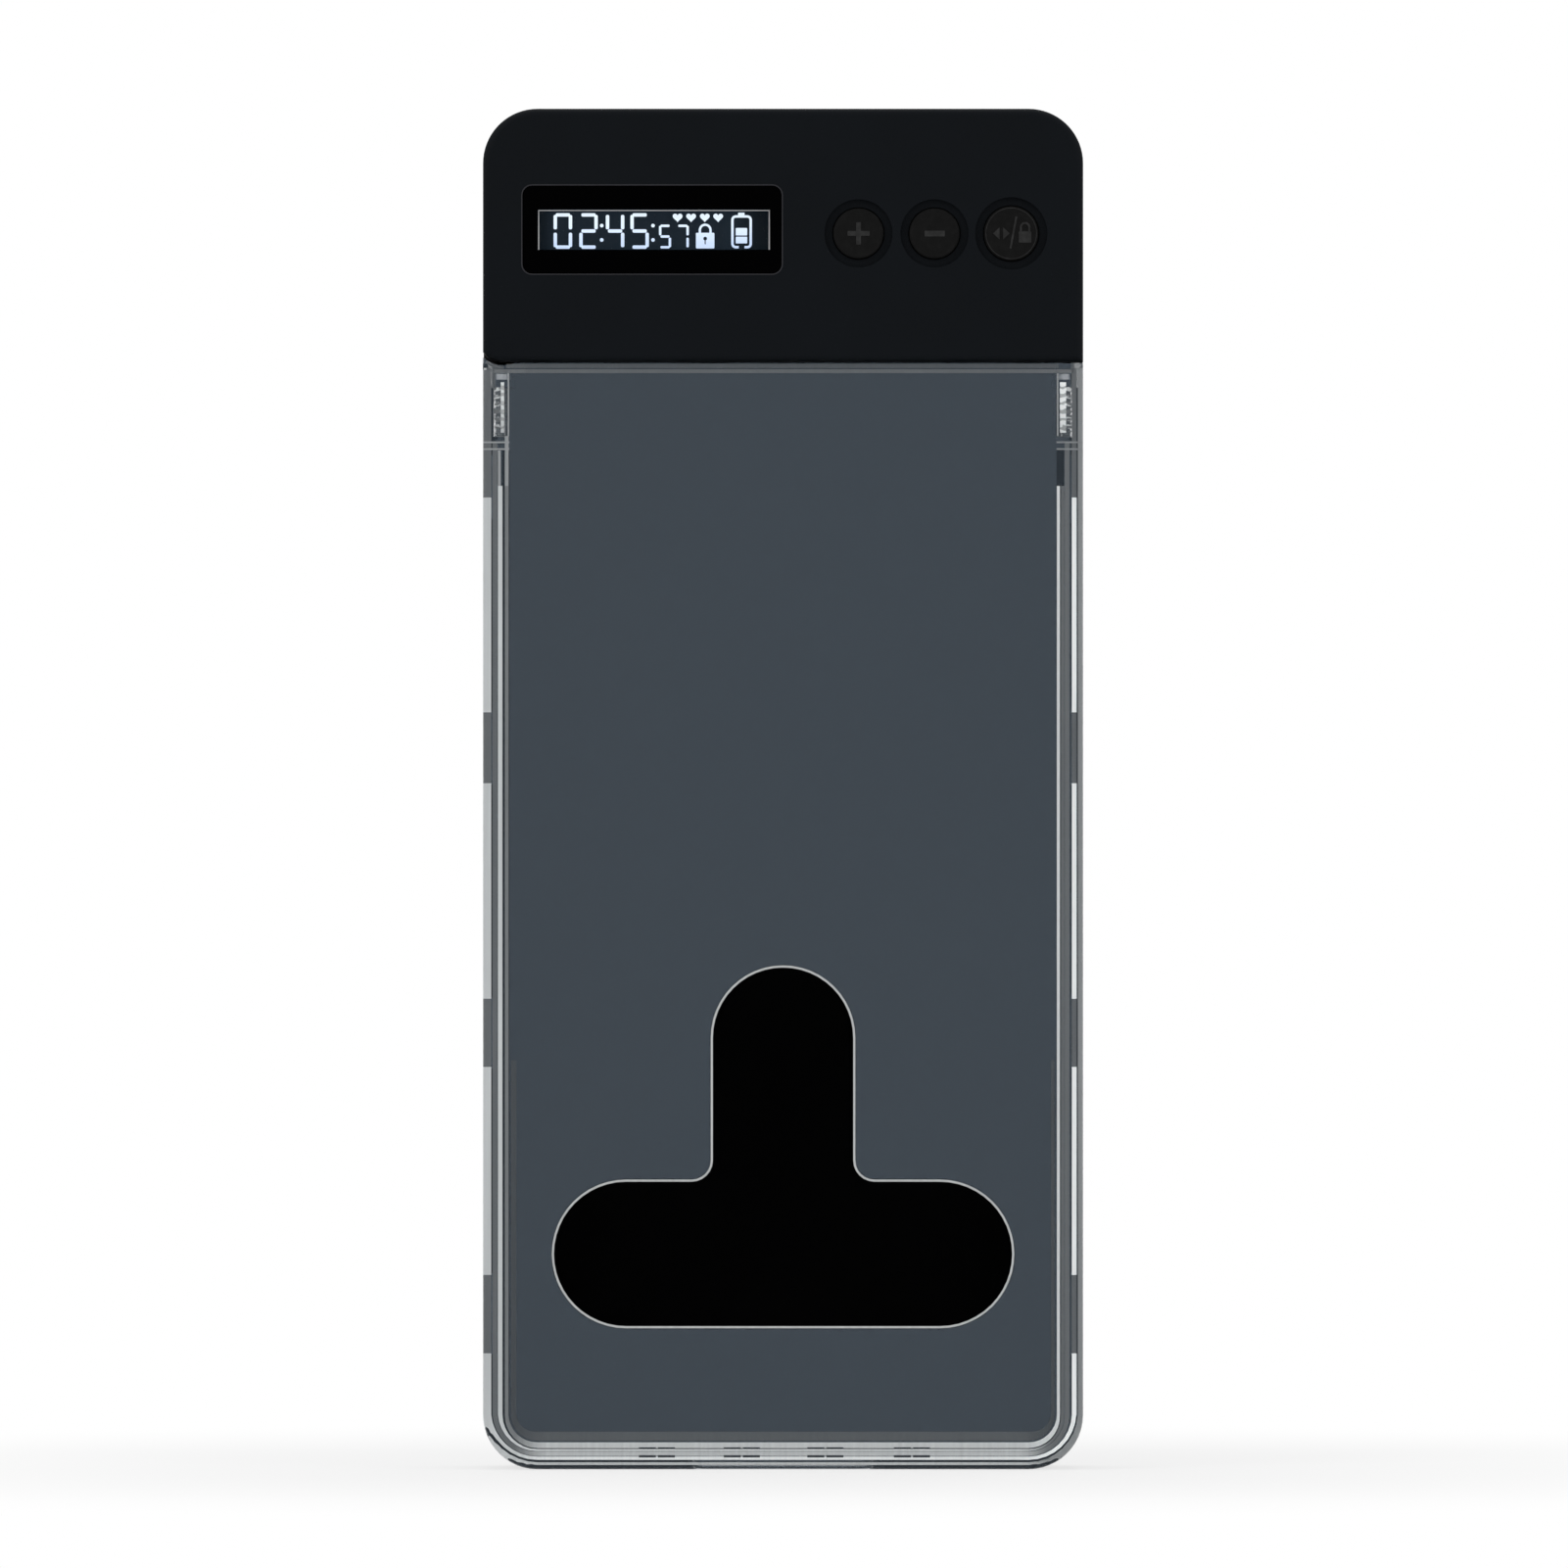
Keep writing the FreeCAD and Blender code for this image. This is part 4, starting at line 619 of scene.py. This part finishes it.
def slot_edge():
    """The T slot's bevel catches the light."""
    stem, stem_centre, bar, low, high, fillet, out = 10.4, 63.3, 23.0, 20.9, 42.3, 3.0, 0.05
    middle, radius = (low + high) / 2, (high - low) / 2 + out
    outline = arc((0, stem_centre), stem + out, 0, 180, 24)
    outline += arc((-stem - fillet, high + fillet), fillet - out, 0, -90, 6)
    outline += arc((-bar, middle), radius, 90, 270, 24)
    outline += arc((bar, middle), radius, -90, 90, 24)
    outline += arc((stem + fillet, high + fillet), fillet - out, 270, 180, 6)
    mesh = bmesh.new()
    line(mesh, outline, 0.34, -10.83, closed=True)
    piece("slot_edge", mesh, lip_painted_light("slot_edge", 0.5, 0.46, 0.42), "case")


def rims():
    """Pale lips behind the clear rims, their paleness painted light: one row each for its distances at the
    left, lower end and right.
    """
    between_hooks = [(28.5, 59), (69, 100.6), (111, 142.5)]
    seal_left, seal_right, cradle_left = (0.55, 1.2), (1.0, 1.65), (3.2, 3.75)
    bead_top = 144.2
    # glow: each lip's painted brightness at its left side, lower end and right side
    for name, left, middle, right, legs, glow in [
            ("rim_lip_outer", (0.1, 0.5), (0.84, 1.03), (0.15, 0.9), [(SIDE_FOOT, 161.5)], (0.56, 0.5, 0.24)),
            ("rim_lip_seal", seal_left, (1.38, 1.86), seal_right, between_hooks, (0.58, 0.8, 0.9)),
            ("rim_lip_step", (1.4, 2.1), (1.95, 2.6), (2.0, 2.7), [(SIDE_FOOT, 150.5)], (0.105, 0.5, 0.115)),
            ("rim_lip_bead", (2.2, 2.85), (2.68, 2.95), (2.75, 3.25),
             [(SIDE_FOOT, bead_top)], (0.6, 0.68, 0.11)),
            ("rim_lip_cradle", cradle_left, (3.1, 3.95), (3.4, 3.85),
             [(SIDE_FOOT, bead_top)], (0.17, 0.57, 0.68)),
            ("rim_lip_panel", (4.1, 4.9), (4.2, 5.5), (4.2, 4.7), [(SIDE_FOOT, 60)], (0.04, 0.08, 0.04))]:
        mesh = bmesh.new()
        lip(mesh, left, middle, right)
        for low, high in legs:
            tablet(mesh, (left[0] - CASE_HALF, left[1] - CASE_HALF), (low, high), LIP_DEPTH)
            tablet(mesh, (CASE_HALF - right[1], CASE_HALF - right[0]), (low, high), LIP_DEPTH)
        bmesh.ops.remove_doubles(mesh, verts=mesh.verts, dist=0.001)
        piece(name, mesh, lip_painted_light(name, *glow), "case")

    # Behind the hooks the seal line is dimmer: painted light at a lower level
    mesh = bmesh.new()
    for low, high in [(SIDE_FOOT, 28.5), (59, 69), (100.6, 111), (142.5, 161.5)]:
        tablet(mesh, (seal_left[0] - CASE_HALF, seal_left[1] - CASE_HALF), (low, high), LIP_DEPTH)
        tablet(mesh, (CASE_HALF - seal_right[1], CASE_HALF - seal_right[0]), (low, high), LIP_DEPTH)
    piece("rim_hook_backs", mesh, lip_painted_light("rim_hook_backs", 0.11, 0.08, 0.1), "case")

    # The rim screws' threads glint through the rim
    mesh = bmesh.new()
    for way, inner, outer in [(-1, 40.9, 41.4), (1, 40.6, 41.5)]:
        tablet(mesh, sorted((way * outer, way * inner)), (152.0, 159.4), LIP_DEPTH)
        for turn in range(6):
            low = 152.6 + 1.1 * turn
            tablet(mesh, sorted((way * 42.3, way * 41.5)), (low, low + 0.6), LIP_DEPTH, 0.2, 12 * way)
    piece("rim_thread_glints", mesh, thread_glints(), "case")
    # Pale strips beside the threads and along the cradle's line: painted highlights
    mesh = bmesh.new()
    for way in (-1, 1):
        tablet(mesh, sorted((way * 40.38, way * 40.15)), (151.5, 161), LIP_DEPTH)
    cradle_line = (cradle_left[0] - CASE_HALF, cradle_left[1] - CASE_HALF)
    for across, top in [((-41.8, -41.4), 149.4), (cradle_line, 151.5)]:
        tablet(mesh, across, (bead_top, top), LIP_DEPTH)
    piece("rim_thread_edge_highlights", mesh, lip_painted_light("rim_thread_edge_highlights", 0.3, 0.3, 0.28), "case")

    # Steps at the top, above the screws and where the cradle ends, with an arc by the hinge: pale plates
    # painted as highlights
    mesh = bmesh.new()
    tablet(mesh, (-40.6, 40.4), (161.5, 162.1), LIP_DEPTH)
    line(mesh, arc(HINGE, 4.6, 236, 268), 0.4, -9.3)
    piece("rim_step_upper", mesh, lip_painted_light("rim_step_upper", 0.1, 0.077, 0.08), "case")
    mesh = bmesh.new()
    tablet(mesh, (-42.4, 42.6), (160.75, 161.3), LIP_DEPTH)
    piece("rim_step_lower", mesh, lip_painted_light("rim_step_lower", 0.13, 0.115, 0.13), "case")
    # Two ledges each side as pale strips: painted highlights
    mesh = bmesh.new()
    for up in (149.6, 150.6):
        for across in [(-43.6, -40.1), (40.1, 43.6)]:
            tablet(mesh, across, (up - 0.12, up + 0.12), LEDGE_DEPTH)
    piece("rim_ledges", mesh, lip_painted_light("rim_ledges", 0.3, 0.3, 0.22), "case")

    # Vents in pairs along the lower rim: near-black plates, painted shade of their openings
    mesh = bmesh.new()
    for middle in (-18.5, -6.05, 6.2, 18.9):
        for way in (-1, 1):
            for up, half in [(1.9, 0.16), (3.15, 0.07)]:
                span = sorted((middle + way * 0.15, middle + way * 2.65))
                tablet(mesh, span, (up - half, up + half), LEDGE_DEPTH)
    piece("rim_vents", mesh, lip_painted_light("rim_vents", 0.01, 0.01, 0.01), "case")


display_signs()
window_rim()
button_signs()
slot_edge()
rims()


# Room: pale floor, white surroundings, soft lamps and the camera

def seen_directly(finish):
    """1 for camera, glossy and transmission rays."""
    path = finish.node("ShaderNodeLightPath")
    rays = path.output("Is Camera Ray") + path.output("Is Glossy Ray") + path.output("Is Transmission Ray")
    return rays > 0.5


class Sky(Finish):
    """The world's nodes."""

    def __init__(self, world):
        world.use_nodes = True
        self.tree = world.node_tree
        self.tree.nodes.clear()


def floor_finish():
    finish = Finish("floor_white")
    cloud = finish.noise(60)
    pale = finish.mix(cloud, (0.88, 0.88, 0.88), (0.9, 0.9, 0.9))
    matte = finish.node("ShaderNodeBsdfDiffuse", sockets={"Color": pale})
    glow = finish.node("ShaderNodeEmission", sockets={"Color": (1, 1, 1, 1), "Strength": 1.0})
    across, deep, _ = finish.axes()
    away = across.maths("SQRT", across * across + deep * deep).smooth(0.06, 0.22)
    share = (0.72 + 0.28 * away) * seen_directly(finish)
    both = finish.node("ShaderNodeMixShader", sockets={0: share, 1: matte, 2: glow})
    return finish.done(both)


def room():
    mesh = bmesh.new()
    bmesh.ops.create_grid(mesh, x_segments=1, y_segments=1, size=0.4)
    bmesh.ops.translate(mesh, vec=(0, 0.0, -0.0001), verts=mesh.verts)
    data = bpy.data.meshes.new("floor")
    mesh.to_mesh(data)
    mesh.free()
    floor = bpy.data.objects.new("floor", data)
    data.materials.append(floor_finish())
    bpy.context.scene.collection.objects.link(floor)

    world = bpy.data.worlds.new("room")
    bpy.context.scene.world = world
    sky = Sky(world)
    strength = 0.55 + 0.45 * seen_directly(sky)
    light = sky.node("ShaderNodeBackground", sockets={"Color": (1, 1, 1, 1), "Strength": strength})
    sky.node("ShaderNodeOutputWorld", sockets={"Surface": light})

    for name, spot, power in [("key", (-0.7, -0.75, 0.75), 2.6), ("fill", (0.8, -0.7, 0.45), 1.6),
                              ("top", (0.0, 0.2, 0.95), 1.6)]:
        lamp = bpy.data.lights.new(name, "AREA")
        lamp.energy = power
        lamp.size = 0.5
        holder = bpy.data.objects.new(name, lamp)
        holder.location = spot
        aim = Vector((0, 0, 0.1)) - Vector(spot)
        holder.rotation_euler = aim.to_track_quat("-Z", "Y").to_euler()
        bpy.context.scene.collection.objects.link(holder)


def photograph():
    """A long lens square on to the front; the frame is 229.8 mm across at the front face."""
    distance, across = 3.0, 0.22984
    data = bpy.data.cameras.new("camera")
    data.sensor_width = 36
    data.lens = 36 * distance / across
    camera = bpy.data.objects.new("camera", data)
    camera.location = (0.00014, -0.011 - distance, 0.10049)
    camera.rotation_euler = (math.radians(90), 0, 0)
    bpy.context.scene.collection.objects.link(camera)
    bpy.context.scene.camera = camera


room()
photograph()
bpy.context.scene.view_settings.view_transform = "Standard"
